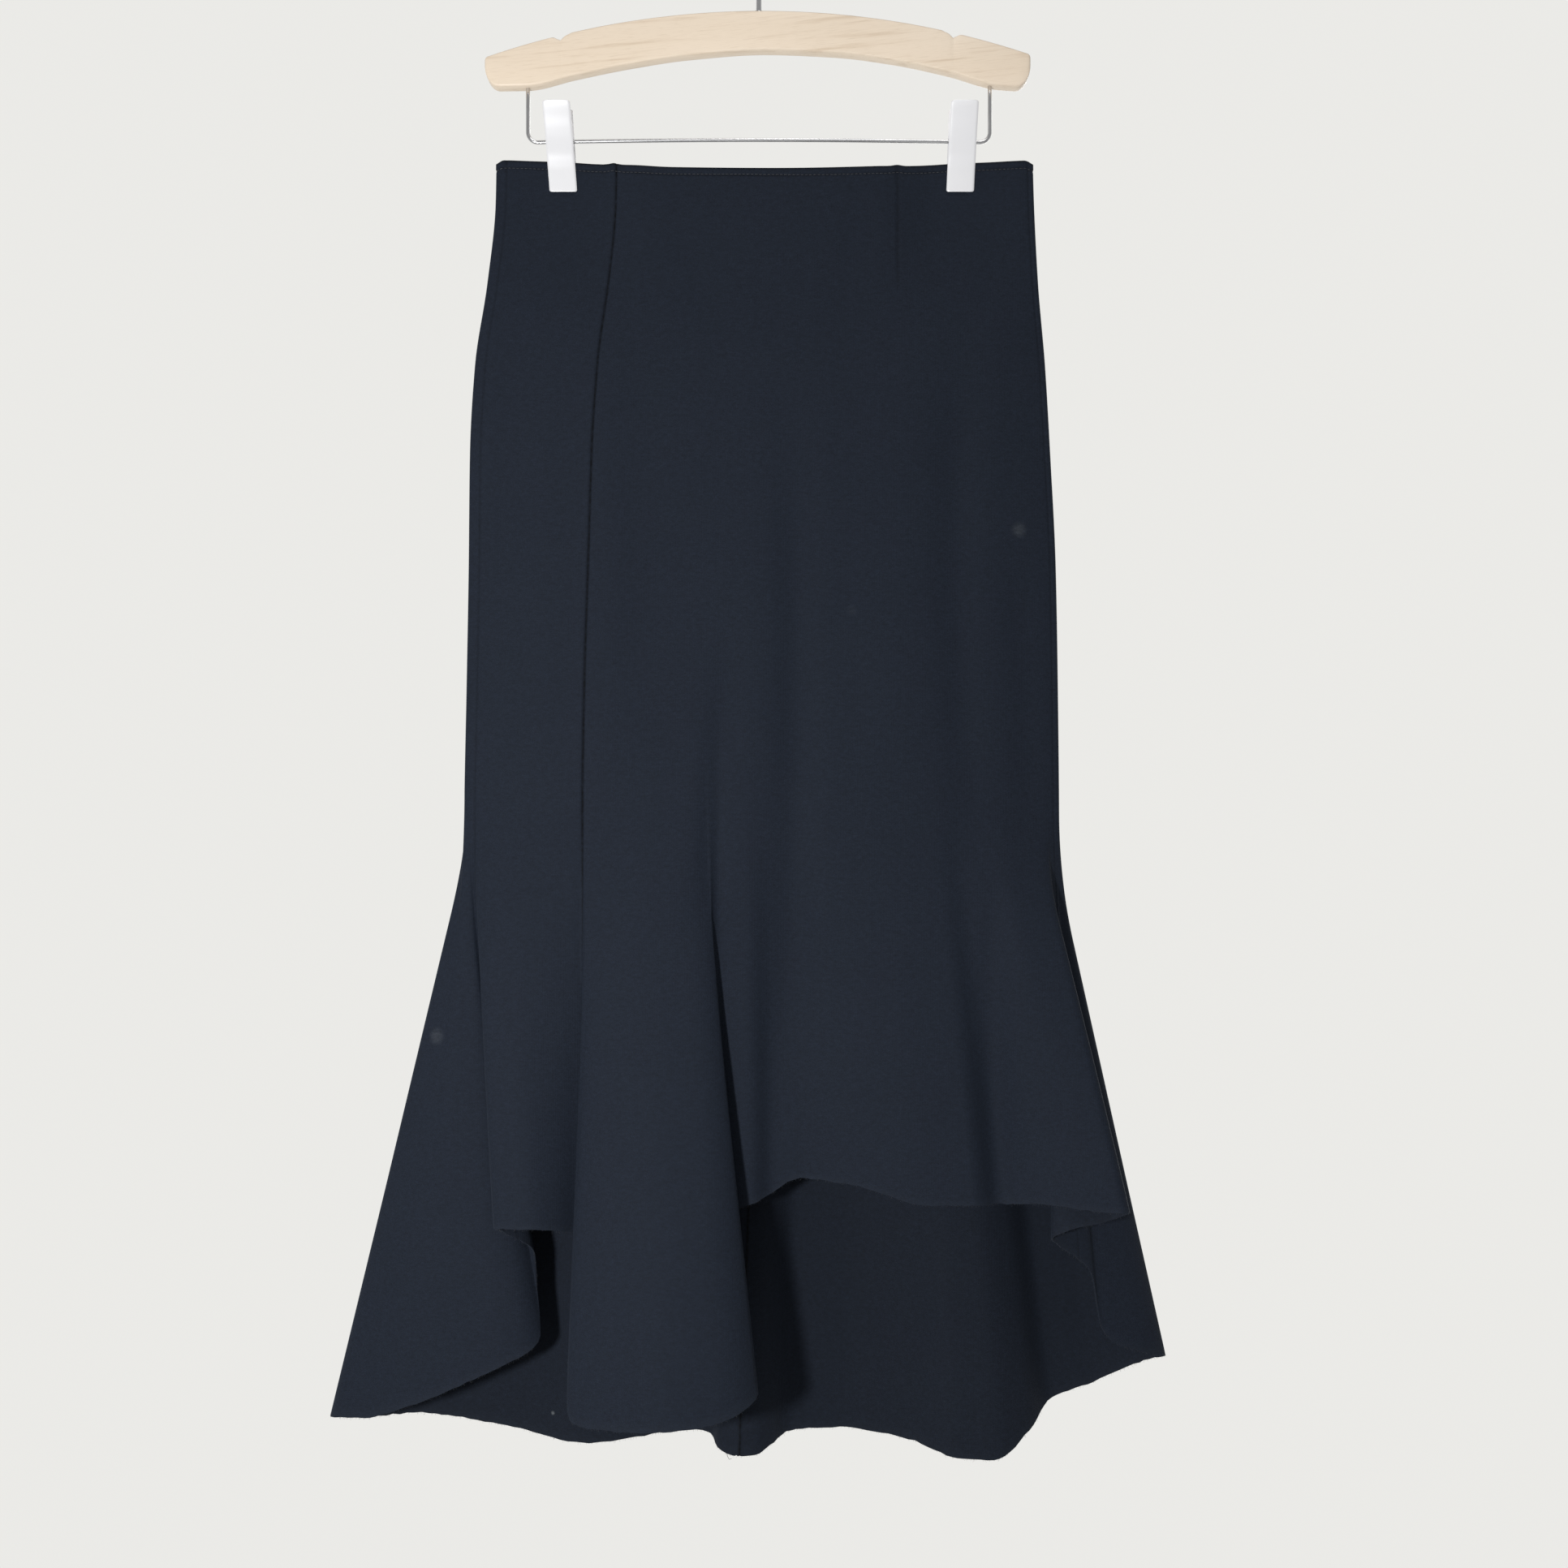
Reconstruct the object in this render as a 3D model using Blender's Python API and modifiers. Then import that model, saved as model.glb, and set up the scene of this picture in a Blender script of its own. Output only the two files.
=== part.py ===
"""A mermaid fishtail skirt, hanging by its waist from a wooden clip hanger.

The origin is the inside top of the hanger's hook, where a rail carries it. +Z is up and the front faces -Y.
Lengths in the tables are millimetres.
"""

import math

import bmesh
import bpy
from mathutils import Vector

MM = 0.001

# ---------------------------------------------------------------- driving sizes

CLOTH = 1.5
SEAM_GAP = 0.3
SEAT_GAP = 0.3

FOLD_FLOOR = 1.6
CLIP_FLOOR = 0.95
CLIP_X = (-129.5, 132.5)
CLIP_TILT = (4.1, -2.6)
PINCH_HALF_WIDTH = 15.0
PINCH_FADE = 42.0
PINCH_Z = (-202.0, -290.0)
DEPTH_EASE = 1.25

# Half widths of the closed tube, left and right, and its half depth at the centre.
OUTLINE = (
    # z, left, right, half_depth
    (-176.0, -170.5, 178.0, 6.0),
    (-203.0, -171.0, 178.8, 7.5),
    (-256.0, -176.5, 181.5, 9.5),
    (-309.0, -184.5, 186.0, 11.5),
    (-367.0, -187.8, 189.4, 13.0),
    (-441.0, -188.6, 193.0, 14.5),
    (-520.0, -190.0, 194.4, 16.0),
    (-600.0, -191.5, 195.2, 17.0),
    (-700.0, -192.0, 195.5, 17.0),
)

# The waist edge sags between the two clips.
WAIST_EDGE = (
    # x, z
    (-171.0, -176.0),
    (-128.0, -177.2),
    (-90.0, -180.0),
    (-55.0, -182.3),
    (10.0, -182.9),
    (85.0, -181.3),
    (122.0, -178.6),
    (178.0, -176.2),
)

# One row per rib of the cloth ring, from the centre back round by the left, the front and the right.
# turn is the rib's place round the flat tube: 0 centre back, 1 left edge, 2 centre front, 3 right edge.
# waist_turn is the same at the waist, leave is where the rib leaves the tube, swing is the share of the
# flare over which it starts to swing sideways, and x, y, z is its hem point.
RIBS = (
    # name, waist_turn, turn, leave, swing, x, y, z
    ("centre_back", 0.000, 0.000, -590, 0.23, -13, 4, -1021),
    ("tab_left_1", 0.030, 0.030, -590, 0.23, -21, 5, -1020),
    ("tab_left_2", 0.050, 0.050, -590, 0.23, -27, 11, -1018),
    ("tab_notch", 0.075, 0.075, -590, 0.23, -32, 24, -1014),
    ("back_dip_1", 0.140, 0.140, -590, 0.23, -49, 30, -1013),
    ("back_lobe_1", 0.380, 0.380, -590, 0.23, -112, 13, -1016),
    ("back_slope_1", 0.560, 0.560, -590, 0.23, -168, 25, -1009),
    ("back_dip_2", 0.740, 0.740, -590, 0.23, -221, 31, -1003),
    ("back_turn_left", 0.900, 0.900, -580, 0.23, -256, 20, -1001),
    ("corner_left", 0.978, 0.978, -560, 0.23, -280, 4, -995),
    ("flare_left_1", 0.992, 0.992, -570, 0.23, -254, -10, -991),
    ("flare_left_2", 1.002, 1.002, -590, 0.23, -210, -19, -975),
    ("flare_left_3", 1.009, 1.009, -600, 0.30, -167, -21, -955),
    ("flare_left_4", 1.015, 1.015, -600, 0.35, -148, -18, -946),
    ("flare_left_tip", 1.020, 1.020, -600, 0.40, -141, -12, -937),
    ("flare_left_edge_1", 1.024, 1.024, -600, 0.40, -143, -9, -910),
    ("flare_left_edge_2", 1.028, 1.028, -600, 0.40, -145, -12, -884),
    ("flare_left_end", 1.032, 1.032, -600, 0.40, -148, -17, -877),
    ("seam_left", 1.037, 1.037, -600, 0.40, -155, -22, -872),
    ("tuck_left", 1.043, 1.043, -600, 0.40, -163, -27, -866),
    ("side_fold", 1.049, 1.049, -600, 0.40, -167, -32, -863),
    ("side_front_1", 1.060, 1.060, -600, 0.35, -161, -37, -862),
    ("side_front_2", 1.130, 1.140, -590, 0.23, -145, -38, -862),
    ("side_front_3", 1.310, 1.290, -590, 0.23, -127, -30, -865),
    ("side_front_4", 1.420, 1.380, -590, 0.23, -117, -22, -867),
    ("side_front_end", 1.436, 1.396, -590, 0.30, -110, -20, -867),
    ("seam_front", 1.448, 1.405, -590, 0.40, -109, -25, -868),
    ("ridge_edge_1", 1.458, 1.417, -590, 0.40, -115, -32, -891),
    ("ridge_edge_2", 1.468, 1.429, -590, 0.40, -119, -39, -944),
    ("ridge_edge_3", 1.480, 1.442, -590, 0.35, -119, -44, -970),
    ("ridge_corner", 1.494, 1.459, -590, 0.30, -115, -49, -980),
    ("ridge_1", 1.540, 1.520, -580, 0.23, -94, -58, -981),
    ("ridge_2", 1.670, 1.620, -570, 0.23, -53, -65, -979),
    ("ridge_3", 1.800, 1.720, -560, 0.26, -20, -61, -974),
    ("ridge_4", 1.855, 1.765, -550, 0.30, -5, -53, -967),
    ("ridge_tip", 1.885, 1.788, -545, 0.34, 0, -46, -962),
    ("ridge_return_1", 1.902, 1.806, -545, 0.36, -5, -41, -946),
    ("ridge_return_2", 1.914, 1.824, -545, 0.42, -23, -35, -881),
    ("ridge_root", 1.927, 1.842, -545, 0.42, -31, -28, -857),
    ("high_1", 1.942, 1.862, -545, 0.38, -26, -22, -856),
    ("high_2", 2.010, 1.945, -560, 0.28, -5, -24, -850),
    ("high_3", 2.060, 2.030, -560, 0.23, 9, -15, -844),
    ("high_4", 2.150, 2.130, -580, 0.23, 27, -15, -835),
    ("high_5", 2.300, 2.300, -590, 0.23, 60, -25, -837),
    ("high_6", 2.470, 2.470, -590, 0.23, 106, -33, -848),
    ("high_7", 2.580, 2.580, -590, 0.23, 137, -34, -848),
    ("high_8", 2.650, 2.650, -590, 0.23, 155, -26, -849),
    ("high_9", 2.750, 2.750, -590, 0.23, 184, -41, -846),
    ("high_10", 2.860, 2.860, -600, 0.23, 212, -53, -847),
    ("high_11", 2.930, 2.930, -600, 0.25, 227, -57, -847),
    ("high_tip", 2.948, 2.948, -600, 0.30, 231, -52, -848),
    ("under_1", 2.956, 2.956, -600, 0.35, 223, -47, -853),
    ("under_2", 2.964, 2.964, -600, 0.40, 194, -42, -862),
    ("under_turn", 2.970, 2.970, -600, 0.40, 185, -37, -868),
    ("tuck_right", 2.976, 2.976, -600, 0.40, 192, -31, -875),
    ("seam_right", 2.981, 2.981, -600, 0.35, 204, -27, -884),
    ("flap_edge_1", 2.985, 2.985, -600, 0.35, 212, -24, -893),
    ("flap_edge_2", 2.988, 2.988, -600, 0.35, 216, -22, -912),
    ("flap_edge_3", 2.991, 2.991, -600, 0.30, 219, -21, -928),
    ("flap_1", 2.994, 2.994, -600, 0.30, 228, -20, -939),
    ("flap_2", 2.998, 2.998, -600, 0.25, 249, -15, -947),
    ("corner_right", 3.004, 3.004, -600, 0.23, 264, -3, -953),
    ("back_turn_right", 3.070, 3.070, -590, 0.23, 254, 14, -962),
    ("back_dip_3", 3.150, 3.150, -590, 0.23, 220, 30, -983),
    ("back_slope_2", 3.220, 3.220, -590, 0.23, 196, 31, -992),
    ("back_lobe_2", 3.290, 3.290, -590, 0.23, 178, 14, -1008),
    ("back_lobe_3", 3.370, 3.370, -590, 0.23, 154, 4, -1024),
    ("back_lobe_4", 3.430, 3.430, -590, 0.23, 130, 5, -1023),
    ("back_slope_3", 3.550, 3.550, -590, 0.23, 99, 20, -1016),
    ("back_dip_4", 3.720, 3.720, -590, 0.23, 54, 30, -1012),
    ("back_dip_5", 3.870, 3.870, -590, 0.23, 21, 27, -1013),
    ("tab_right_1", 3.930, 3.930, -590, 0.23, 7, 12, -1017),
    ("tab_right_2", 3.965, 3.965, -590, 0.23, -3, 5, -1021),
)

# Each panel of the cut runs round the ring from one seam rib to the next.
PANELS = (
    # name, first seam, last seam
    ("back_left_panel", "centre_back", "seam_left"),
    ("front_left_panel", "seam_left", "seam_front"),
    ("front_main_panel", "seam_front", "seam_right"),
    ("back_right_panel", "seam_right", "centre_back"),
)

# Rows of the cloth: shares of the tube below the waist edge, then shares of the flare.
TUBE_ROWS = (0.0, 0.027, 0.055, 0.1, 0.16, 0.26, 0.41, 0.58, 0.75, 0.9)
FLARE_ROWS = (0.0, 0.08, 0.16, 0.26, 0.37, 0.49, 0.62, 0.75, 0.88, 1.0)
WIDE_STEP = 20.0

# Hanger
WOOD_THICK = 10.0
WOOD_TOP_Z = -79.4
WOOD_TOP_RADIUS = 550.0
WOOD_TOP_SLOPE = 0.004
WOOD_LOW_EDGE = (
    # x, z of the lower edge, from the left end to the right
    (-169.0, -128.6),
    (-150.0, -128.2),
    (-120.0, -121.4),
    (-85.0, -114.2),
    (-45.0, -108.2),
    (4.0, -104.8),
    (50.0, -106.6),
    (90.0, -111.8),
    (125.0, -119.4),
    (155.0, -127.6),
    (168.0, -128.6),
)
WOOD_ENDS = (-178.0, 176.5)
WOOD_EDGE_ROUND = 0.8
# How far the rounded lower corners step in from each end, and how high above the lower edge.
CORNER_STEPS = (
    # in, up
    (1.2, 9.0),
    (4.2, 2.6),
)
NOTCHES = (-130.5, 127.0)
NOTCH_RADIUS = 3.6
NOTCH_REACH = 1.6

HOOK_WIRE = 3.6
HOOK_RADIUS = 21.0
HOOK_END_ANGLE = 200.0
STEM_DEPTH = 14.0
STEM_BEND_Z = -52.0
STEM_BEND_STEPS = 8
HOOK_STEPS = 20

BAR_WIRE = 2.6
BAR_X = (-150.5, 150.5)
BAR_MOUTH_Z = -128.0
BAR_Z = -163.4
BAR_RISE = 1.6
BAR_CORNER = 6.5
BAR_DEPTH = 9.0
WOOD_BORE_GAP = 0.3
BORE_RUN_OUT = 6.0
BORE_FLOOR_GAP = 1.0

JAW_WIDTH = 18.0
JAW_SHEET = 1.2
JAW_TOP = -139.0
JAW_LOW = -196.4
SPRING_WALL = 1.1
SPRING_INSET = 3.0
SPRING_SIDES = 16

# Colours of the parts, linear, with roughness and metallic share.
FINISHES = {
    "cloth": ((0.012, 0.017, 0.026), 0.85, 0.0),
    "wood": ((0.68, 0.50, 0.33), 0.55, 0.0),
    "steel": ((0.55, 0.55, 0.56), 0.30, 1.0),
    "clip": ((0.86, 0.86, 0.88), 0.28, 1.0),
}


# ---------------------------------------------------------------- small helpers


def table_value(rows, at, column):
    """Linear reading of a table whose first column is the key, in either order."""
    ordered = sorted(rows)
    if at <= ordered[0][0]:
        return ordered[0][column]
    for low, high in zip(ordered, ordered[1:]):
        if at <= high[0]:
            share = (at - low[0]) / (high[0] - low[0])
            return low[column] + share * (high[column] - low[column])
    return ordered[-1][column]


def fade(value):
    """1 at 0 or less, 0 at 1 or more, smooth between."""
    value = min(max(value, 0.0), 1.0)
    return 1.0 - value * value * (3.0 - 2.0 * value)


def sideways_ease(share, swing):
    """Starts softly over the swing share, then runs straight to the hem."""
    straight = 1.0 - swing / 2.0
    if share < swing:
        return share * share / (2.0 * swing) / straight
    return (share - swing / 2.0) / straight


def depth_ease(share):
    """Folds part in depth before they swing over each other."""
    return 1.0 - (1.0 - share) ** DEPTH_EASE


def material(name):
    colour, roughness, metallic = FINISHES[name]
    made = bpy.data.materials.get(name)
    if made:
        return made
    made = bpy.data.materials.new(name)
    made.use_nodes = True
    shader = made.node_tree.nodes["Principled BSDF"]
    shader.inputs["Base Color"].default_value = (*colour, 1.0)
    shader.inputs["Roughness"].default_value = roughness
    shader.inputs["Metallic"].default_value = metallic
    return made


def add_object(name, mesh, finish, collection):
    thing = bpy.data.objects.new(name, mesh)
    thing.data.materials.append(material(finish))
    collection.objects.link(thing)
    return thing


def mesh_from(name, build):
    """A mesh filled by build(bmesh)."""
    work = bmesh.new()
    build(work)
    mesh = bpy.data.meshes.new(name)
    work.to_mesh(mesh)
    work.free()
    return mesh


# ---------------------------------------------------------------- the cloth ring


def monotone_slopes(values):
    """Slopes of a closed smooth curve through the values that never overshoots them."""
    steps = [values[(i + 1) % len(values)] - values[i] for i in range(len(values))]
    slopes = []
    for i in range(len(values)):
        before, after = steps[i - 1], steps[i]
        flat = before * after <= 0
        slopes.append(0.0 if flat else 2 * before * after / (before + after))
    return slopes


def between(values, slopes, index, share):
    after = (index + 1) % len(values)
    a, b = values[index], values[after]
    t2, t3 = share * share, share**3
    return (
        (2 * t3 - 3 * t2 + 1) * a
        + (t3 - 2 * t2 + share) * slopes[index]
        + (3 * t2 - 2 * t3) * b
        + (t3 - t2) * slopes[after]
    )


def fine_ribs():
    """The table's ribs with smooth ones added between, and each named rib's index among them."""
    keys = len(RIBS[0]) - 1
    columns = [[float(row[1 + k]) for row in RIBS] for k in range(keys)]
    # The two turn columns climb to 4, where they meet 0 again, so they are closed by their step.
    slopes = [monotone_slopes(column) for column in columns]
    ribs, index_of = [], {}
    for i, row in enumerate(RIBS):
        index_of[row[0]] = len(ribs)
        following = RIBS[(i + 1) % len(RIBS)]
        parts = 2 if math.dist(row[5:], following[5:]) > WIDE_STEP else 1
        for part in range(parts):
            share = part / parts
            rib = []
            for k in range(keys):
                if k < 2:
                    start, end = columns[k][i], columns[k][(i + 1) % len(RIBS)]
                    end += 4.0 if end < start else 0.0
                    rib.append(start + share * (end - start))
                else:
                    rib.append(between(columns[k], slopes[k], i, share))
            ribs.append(tuple(rib))
    return ribs, index_of


def tube_point(turn, z):
    """(x, y) of the closed tube at a turn and height: a flat lens with round edges, pinched at the clips."""
    left = table_value(OUTLINE, z, 1)
    right = table_value(OUTLINE, z, 2)
    depth = table_value(OUTLINE, z, 3)
    front = 1.0 < turn < 3.0
    across = turn - 2.0 if front else (-turn if turn <= 1.0 else 4.0 - turn)
    middle, half = (left + right) / 2.0, (right - left) / 2.0
    x = middle + across * half
    nearest = min(abs(x - clip) for clip in CLIP_X)
    pinch = fade((nearest - PINCH_HALF_WIDTH) / PINCH_FADE)
    pinch *= fade((PINCH_Z[0] - z) / (PINCH_Z[0] - PINCH_Z[1]))
    floor = FOLD_FLOOR + (CLIP_FLOOR - FOLD_FLOOR) * pinch
    lens = (depth - FOLD_FLOOR) * (1.0 - across**4) * (1.0 - pinch)
    from_edge = half * (1.0 - abs(across))
    roundness = 1.0
    if from_edge < FOLD_FLOOR:
        roundness = math.sqrt(max(0.0, 1.0 - (1.0 - from_edge / FOLD_FLOOR) ** 2))
    y = (floor + lens) * roundness
    return x, -y if front else y


def rib_points(rib):
    """The rib's points from the waist to the hem."""
    waist_turn, turn, leave, swing, hem_x, hem_y, hem_z = rib
    waist_x, _ = tube_point(waist_turn, -180.0)
    top = table_value(WAIST_EDGE, waist_x, 1)
    points = []
    for drop in TUBE_ROWS:
        z = top + drop * (leave - top)
        settled = 1.0 - fade(drop / TUBE_ROWS[-1])
        at = waist_turn + (turn - waist_turn) * settled
        points.append(Vector((*tube_point(at, z), z)))
    start_x, start_y = tube_point(turn, leave)
    for share in FLARE_ROWS:
        x = start_x + sideways_ease(share, swing) * (hem_x - start_x)
        y = start_y + depth_ease(share) * (hem_y - start_y)
        points.append(Vector((x, y, leave + share * (hem_z - leave))))
    return points


def ring_frames(lines):
    """For each rib's points, the direction round the ring and the outward normal."""
    frames = []
    for i, line in enumerate(lines):
        before, after = lines[i - 1], lines[(i + 1) % len(lines)]
        rib = []
        for row, point in enumerate(line):
            around = (after[row] - point).normalized() + (point - before[row]).normalized()
            upper, lower = line[max(row - 1, 0)], line[min(row + 1, len(line) - 1)]
            outward = around.cross(upper - lower).normalized()
            rib.append((around.normalized(), outward))
        frames.append(rib)
    return frames


def cloth_panel(name, span, lines, frames, collection):
    """A wall of cloth through the ribs of the span, cut half a seam gap short at both ends."""
    grid = []
    for place, i in enumerate(span):
        shift = (place == 0) - (place == len(span) - 1)
        rib = []
        for point, (around, outward) in zip(lines[i], frames[i]):
            middle = point + around * shift * SEAM_GAP / 2
            rib.append((middle + outward * CLOTH / 2, middle - outward * CLOTH / 2))
        grid.append(rib)

    def build(work):
        made = [[[work.verts.new(p * MM) for p in pair] for pair in rib] for rib in grid]
        rows = len(made[0])
        for one, other in zip(made, made[1:]):
            for row in range(rows - 1):
                for side in (0, 1):
                    corners = [one[row][side], one[row + 1][side], other[row + 1][side], other[row][side]]
                    work.faces.new(corners if side == 0 else corners[::-1])
            for row, turn_over in ((0, False), (rows - 1, True)):
                corners = [one[row][0], other[row][0], other[row][1], one[row][1]]
                work.faces.new(corners[::-1] if turn_over else corners)
        for rib, turn_over in ((made[0], False), (made[-1], True)):
            for row in range(rows - 1):
                corners = [rib[row][0], rib[row][1], rib[row + 1][1], rib[row + 1][0]]
                work.faces.new(corners[::-1] if turn_over else corners)

    panel = add_object(name, mesh_from(name, build), "cloth", collection)
    panel.data.shade_smooth()
    return panel


def build_skirt(collection):
    ribs, index_of = fine_ribs()
    lines = [rib_points(rib) for rib in ribs]
    frames = ring_frames(lines)
    for name, first, last in PANELS:
        start, end = index_of[first], index_of[last]
        if end <= start:
            end += len(ribs)
        span = [i % len(ribs) for i in range(start, end + 1)]
        cloth_panel(name, span, lines, frames, collection)


# ---------------------------------------------------------------- the hanger


def wire_object(name, route, diameter, finish, collection, sides=3):
    """A round wire along the points of a poly line, made a mesh."""
    curve = bpy.data.curves.new(name, "CURVE")
    curve.dimensions = "3D"
    curve.bevel_depth = diameter / 2 * MM
    curve.bevel_resolution = sides
    curve.use_fill_caps = True
    line = curve.splines.new("POLY")
    line.points.add(len(route) - 1)
    for point, place in zip(line.points, route):
        point.co = (*[c * MM for c in place], 1.0)
    return add_object(name, curve, finish, collection)


def hook_route():
    """Up from the wood, out to one side, and over the top to an open end."""
    centre_z = HOOK_WIRE / 2 - HOOK_RADIUS
    route = [(0.0, 0.0, WOOD_TOP_Z - STEM_DEPTH), (0.0, 0.0, WOOD_TOP_Z), (0.0, 0.0, STEM_BEND_Z - 6.0)]
    # An S bend carries the wire from the stem to the round of the hook.
    for i in range(1, STEM_BEND_STEPS):
        share = i / STEM_BEND_STEPS
        z = STEM_BEND_Z + share * (centre_z - STEM_BEND_Z)
        route.append((HOOK_RADIUS * (1.0 - fade(share)), 0.0, z))
    for i in range(HOOK_STEPS + 1):
        angle = math.radians(HOOK_END_ANGLE * i / HOOK_STEPS)
        route.append((HOOK_RADIUS * math.cos(angle), 0.0, centre_z + HOOK_RADIUS * math.sin(angle)))
    return route


def bar_route():
    """Down from the wood, along under it with a slight rise, and up again."""
    route = []
    for side, x in zip((1, -1), BAR_X):
        leg = [(x, 0.0, BAR_MOUTH_Z + BAR_DEPTH), (x, 0.0, BAR_Z + BAR_CORNER)]
        for i in range(1, 5):
            angle = math.radians(90.0 * i / 4)
            leg.append((
                x + side * BAR_CORNER * (1 - math.cos(angle)),
                0.0,
                BAR_Z + BAR_CORNER * (1 - math.sin(angle)),
            ))
        route.append(leg)
    middle = []
    for share in (0.15, 0.3, 0.5, 0.7, 0.85):
        x = BAR_X[0] + share * (BAR_X[1] - BAR_X[0])
        middle.append((x, 0.0, BAR_Z + BAR_RISE * math.sin(math.pi * share)))
    return route[0] + middle + route[1][::-1]


def wood_top(x):
    return WOOD_TOP_Z + WOOD_TOP_SLOPE * x - (WOOD_TOP_RADIUS - math.sqrt(WOOD_TOP_RADIUS**2 - x * x))


def wood_outline():
    """The plank's outline, clockwise from its upper left corner, with the two dips in its top edge."""
    left, right = WOOD_ENDS
    top = []
    steps = 24
    for i in range(steps + 1):
        x = left + (right - left) * i / steps
        if all(abs(x - notch) > 2.0 * NOTCH_RADIUS for notch in NOTCHES):
            top.append((x, wood_top(x)))
    for notch in NOTCHES:
        for i in range(7):
            across = NOTCH_REACH * (i / 3 - 1.0)
            dip = NOTCH_RADIUS * fade(abs(across) / NOTCH_REACH)
            x = notch + across * NOTCH_RADIUS
            top.append((x, wood_top(x) - dip))
    top.sort()
    right_low, left_low = WOOD_LOW_EDGE[-1][1], WOOD_LOW_EDGE[0][1]
    ends = [(right - step, right_low + up) for step, up in CORNER_STEPS]
    start = [(left + step, left_low + up) for step, up in reversed(CORNER_STEPS)]
    return top + ends + list(reversed(WOOD_LOW_EDGE)) + start


def bore(name, x, z_from, z_to, diameter, cutters):
    """An upright drill hole's cutter."""

    def build(work):
        bmesh.ops.create_cone(
            work,
            cap_ends=True,
            segments=16,
            radius1=(diameter / 2 + WOOD_BORE_GAP) * MM,
            radius2=(diameter / 2 + WOOD_BORE_GAP) * MM,
            depth=abs(z_to - z_from) * MM,
        )

    cutter = bpy.data.objects.new(name, mesh_from(name, build))
    cutter.location = (x * MM, 0.0, (z_from + z_to) / 2 * MM)
    cutter.hide_render = True
    cutter.display_type = "WIRE"
    cutters.objects.link(cutter)
    return cutter


def build_wood(collection, cutters):
    def build(work):
        outline = [work.verts.new((x * MM, -WOOD_THICK / 2 * MM, z * MM)) for x, z in wood_outline()]
        face = work.faces.new(outline)
        pushed = bmesh.ops.extrude_face_region(work, geom=[face])
        moved = [v for v in pushed["geom"] if isinstance(v, bmesh.types.BMVert)]
        bmesh.ops.translate(work, verts=moved, vec=(0.0, WOOD_THICK * MM, 0.0))
        bmesh.ops.recalc_face_normals(work, faces=work.faces)

    wood = add_object("hanger_wood", mesh_from("hanger_wood", build), "wood", collection)
    edges = wood.modifiers.new("soft_edges", "BEVEL")
    edges.width = WOOD_EDGE_ROUND * MM
    edges.segments = 1
    edges.limit_method = "ANGLE"
    edges.angle_limit = math.radians(60)
    high, low = WOOD_TOP_Z + BORE_RUN_OUT, WOOD_TOP_Z - STEM_DEPTH - BORE_FLOOR_GAP
    holes = [bore("stem_bore", 0.0, high, low, HOOK_WIRE, cutters)]
    for side, x in zip(("left", "right"), BAR_X):
        low, high = BAR_MOUTH_Z - BORE_RUN_OUT, BAR_MOUTH_Z + BAR_DEPTH + BORE_FLOOR_GAP
        holes.append(bore(f"bar_bore_{side}", x, low, high, BAR_WIRE, cutters))
    for hole in holes:
        cut = wood.modifiers.new(hole.name, "BOOLEAN")
        cut.operation = "DIFFERENCE"
        cut.solver = "EXACT"
        cut.object = hole
    return wood


def jaw_profile():
    """(distance out from the bar's plane, z) of a jaw's inner face, from its handle end to its grip."""
    grip = CLIP_FLOOR + CLOTH / 2 + SEAT_GAP
    pivot = BAR_WIRE / 2 + SEAT_GAP + SPRING_WALL + SEAT_GAP + 0.2
    return (
        (7.6, JAW_TOP),
        (5.6, JAW_TOP - 10.0),
        (4.2, BAR_Z + 7.0),
        (pivot, BAR_Z),
        (3.4, BAR_Z - 8.0),
        (grip, JAW_LOW + 17.5),
        (grip, JAW_LOW),
    )


def build_jaw(name, clip_x, tilt, facing, collection):
    """A bent strip of sheet metal, on one side of the bar. facing is -1 in front and 1 behind."""
    half = JAW_WIDTH / 2

    def build(work):
        outer, inner = [], []
        lean = math.tan(math.radians(tilt))
        for out, z in jaw_profile():
            shift = (BAR_Z - z) * lean
            for store, distance in ((inner, out), (outer, out + JAW_SHEET)):
                y = facing * distance
                store.append([
                    work.verts.new(((clip_x + shift + side * half) * MM, y * MM, z * MM)) for side in (-1, 1)
                ])
        count = len(inner)
        for i in range(count - 1):
            work.faces.new((inner[i][0], inner[i][1], inner[i + 1][1], inner[i + 1][0]))
            work.faces.new((outer[i][0], outer[i + 1][0], outer[i + 1][1], outer[i][1]))
            work.faces.new((inner[i][0], inner[i + 1][0], outer[i + 1][0], outer[i][0]))
            work.faces.new((inner[i][1], outer[i][1], outer[i + 1][1], inner[i + 1][1]))
        work.faces.new((inner[0][0], outer[0][0], outer[0][1], inner[0][1]))
        work.faces.new((inner[-1][0], inner[-1][1], outer[-1][1], outer[-1][0]))
        bmesh.ops.recalc_face_normals(work, faces=work.faces)

    return add_object(name, mesh_from(name, build), "clip", collection)


def build_spring(name, clip_x, collection):
    """The spring's coil round the bar between the two jaws."""

    def build(work):
        rings = []
        inner = BAR_WIRE / 2 + SEAT_GAP
        outer = inner + SPRING_WALL
        half = JAW_WIDTH / 2 - SPRING_INSET
        for x, radius in ((-half, inner), (-half, outer), (half, outer), (half, inner)):
            ring = []
            for i in range(SPRING_SIDES):
                angle = 2 * math.pi * i / SPRING_SIDES
                z = bar_height(clip_x) + radius * math.sin(angle)
                ring.append(work.verts.new(((clip_x + x) * MM, radius * math.cos(angle) * MM, z * MM)))
            rings.append(ring)
        for one, other in zip(rings, rings[1:] + rings[:1]):
            for i in range(SPRING_SIDES):
                j = (i + 1) % SPRING_SIDES
                work.faces.new((one[i], one[j], other[j], other[i]))
        bmesh.ops.recalc_face_normals(work, faces=work.faces)

    return add_object(name, mesh_from(name, build), "steel", collection)


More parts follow.
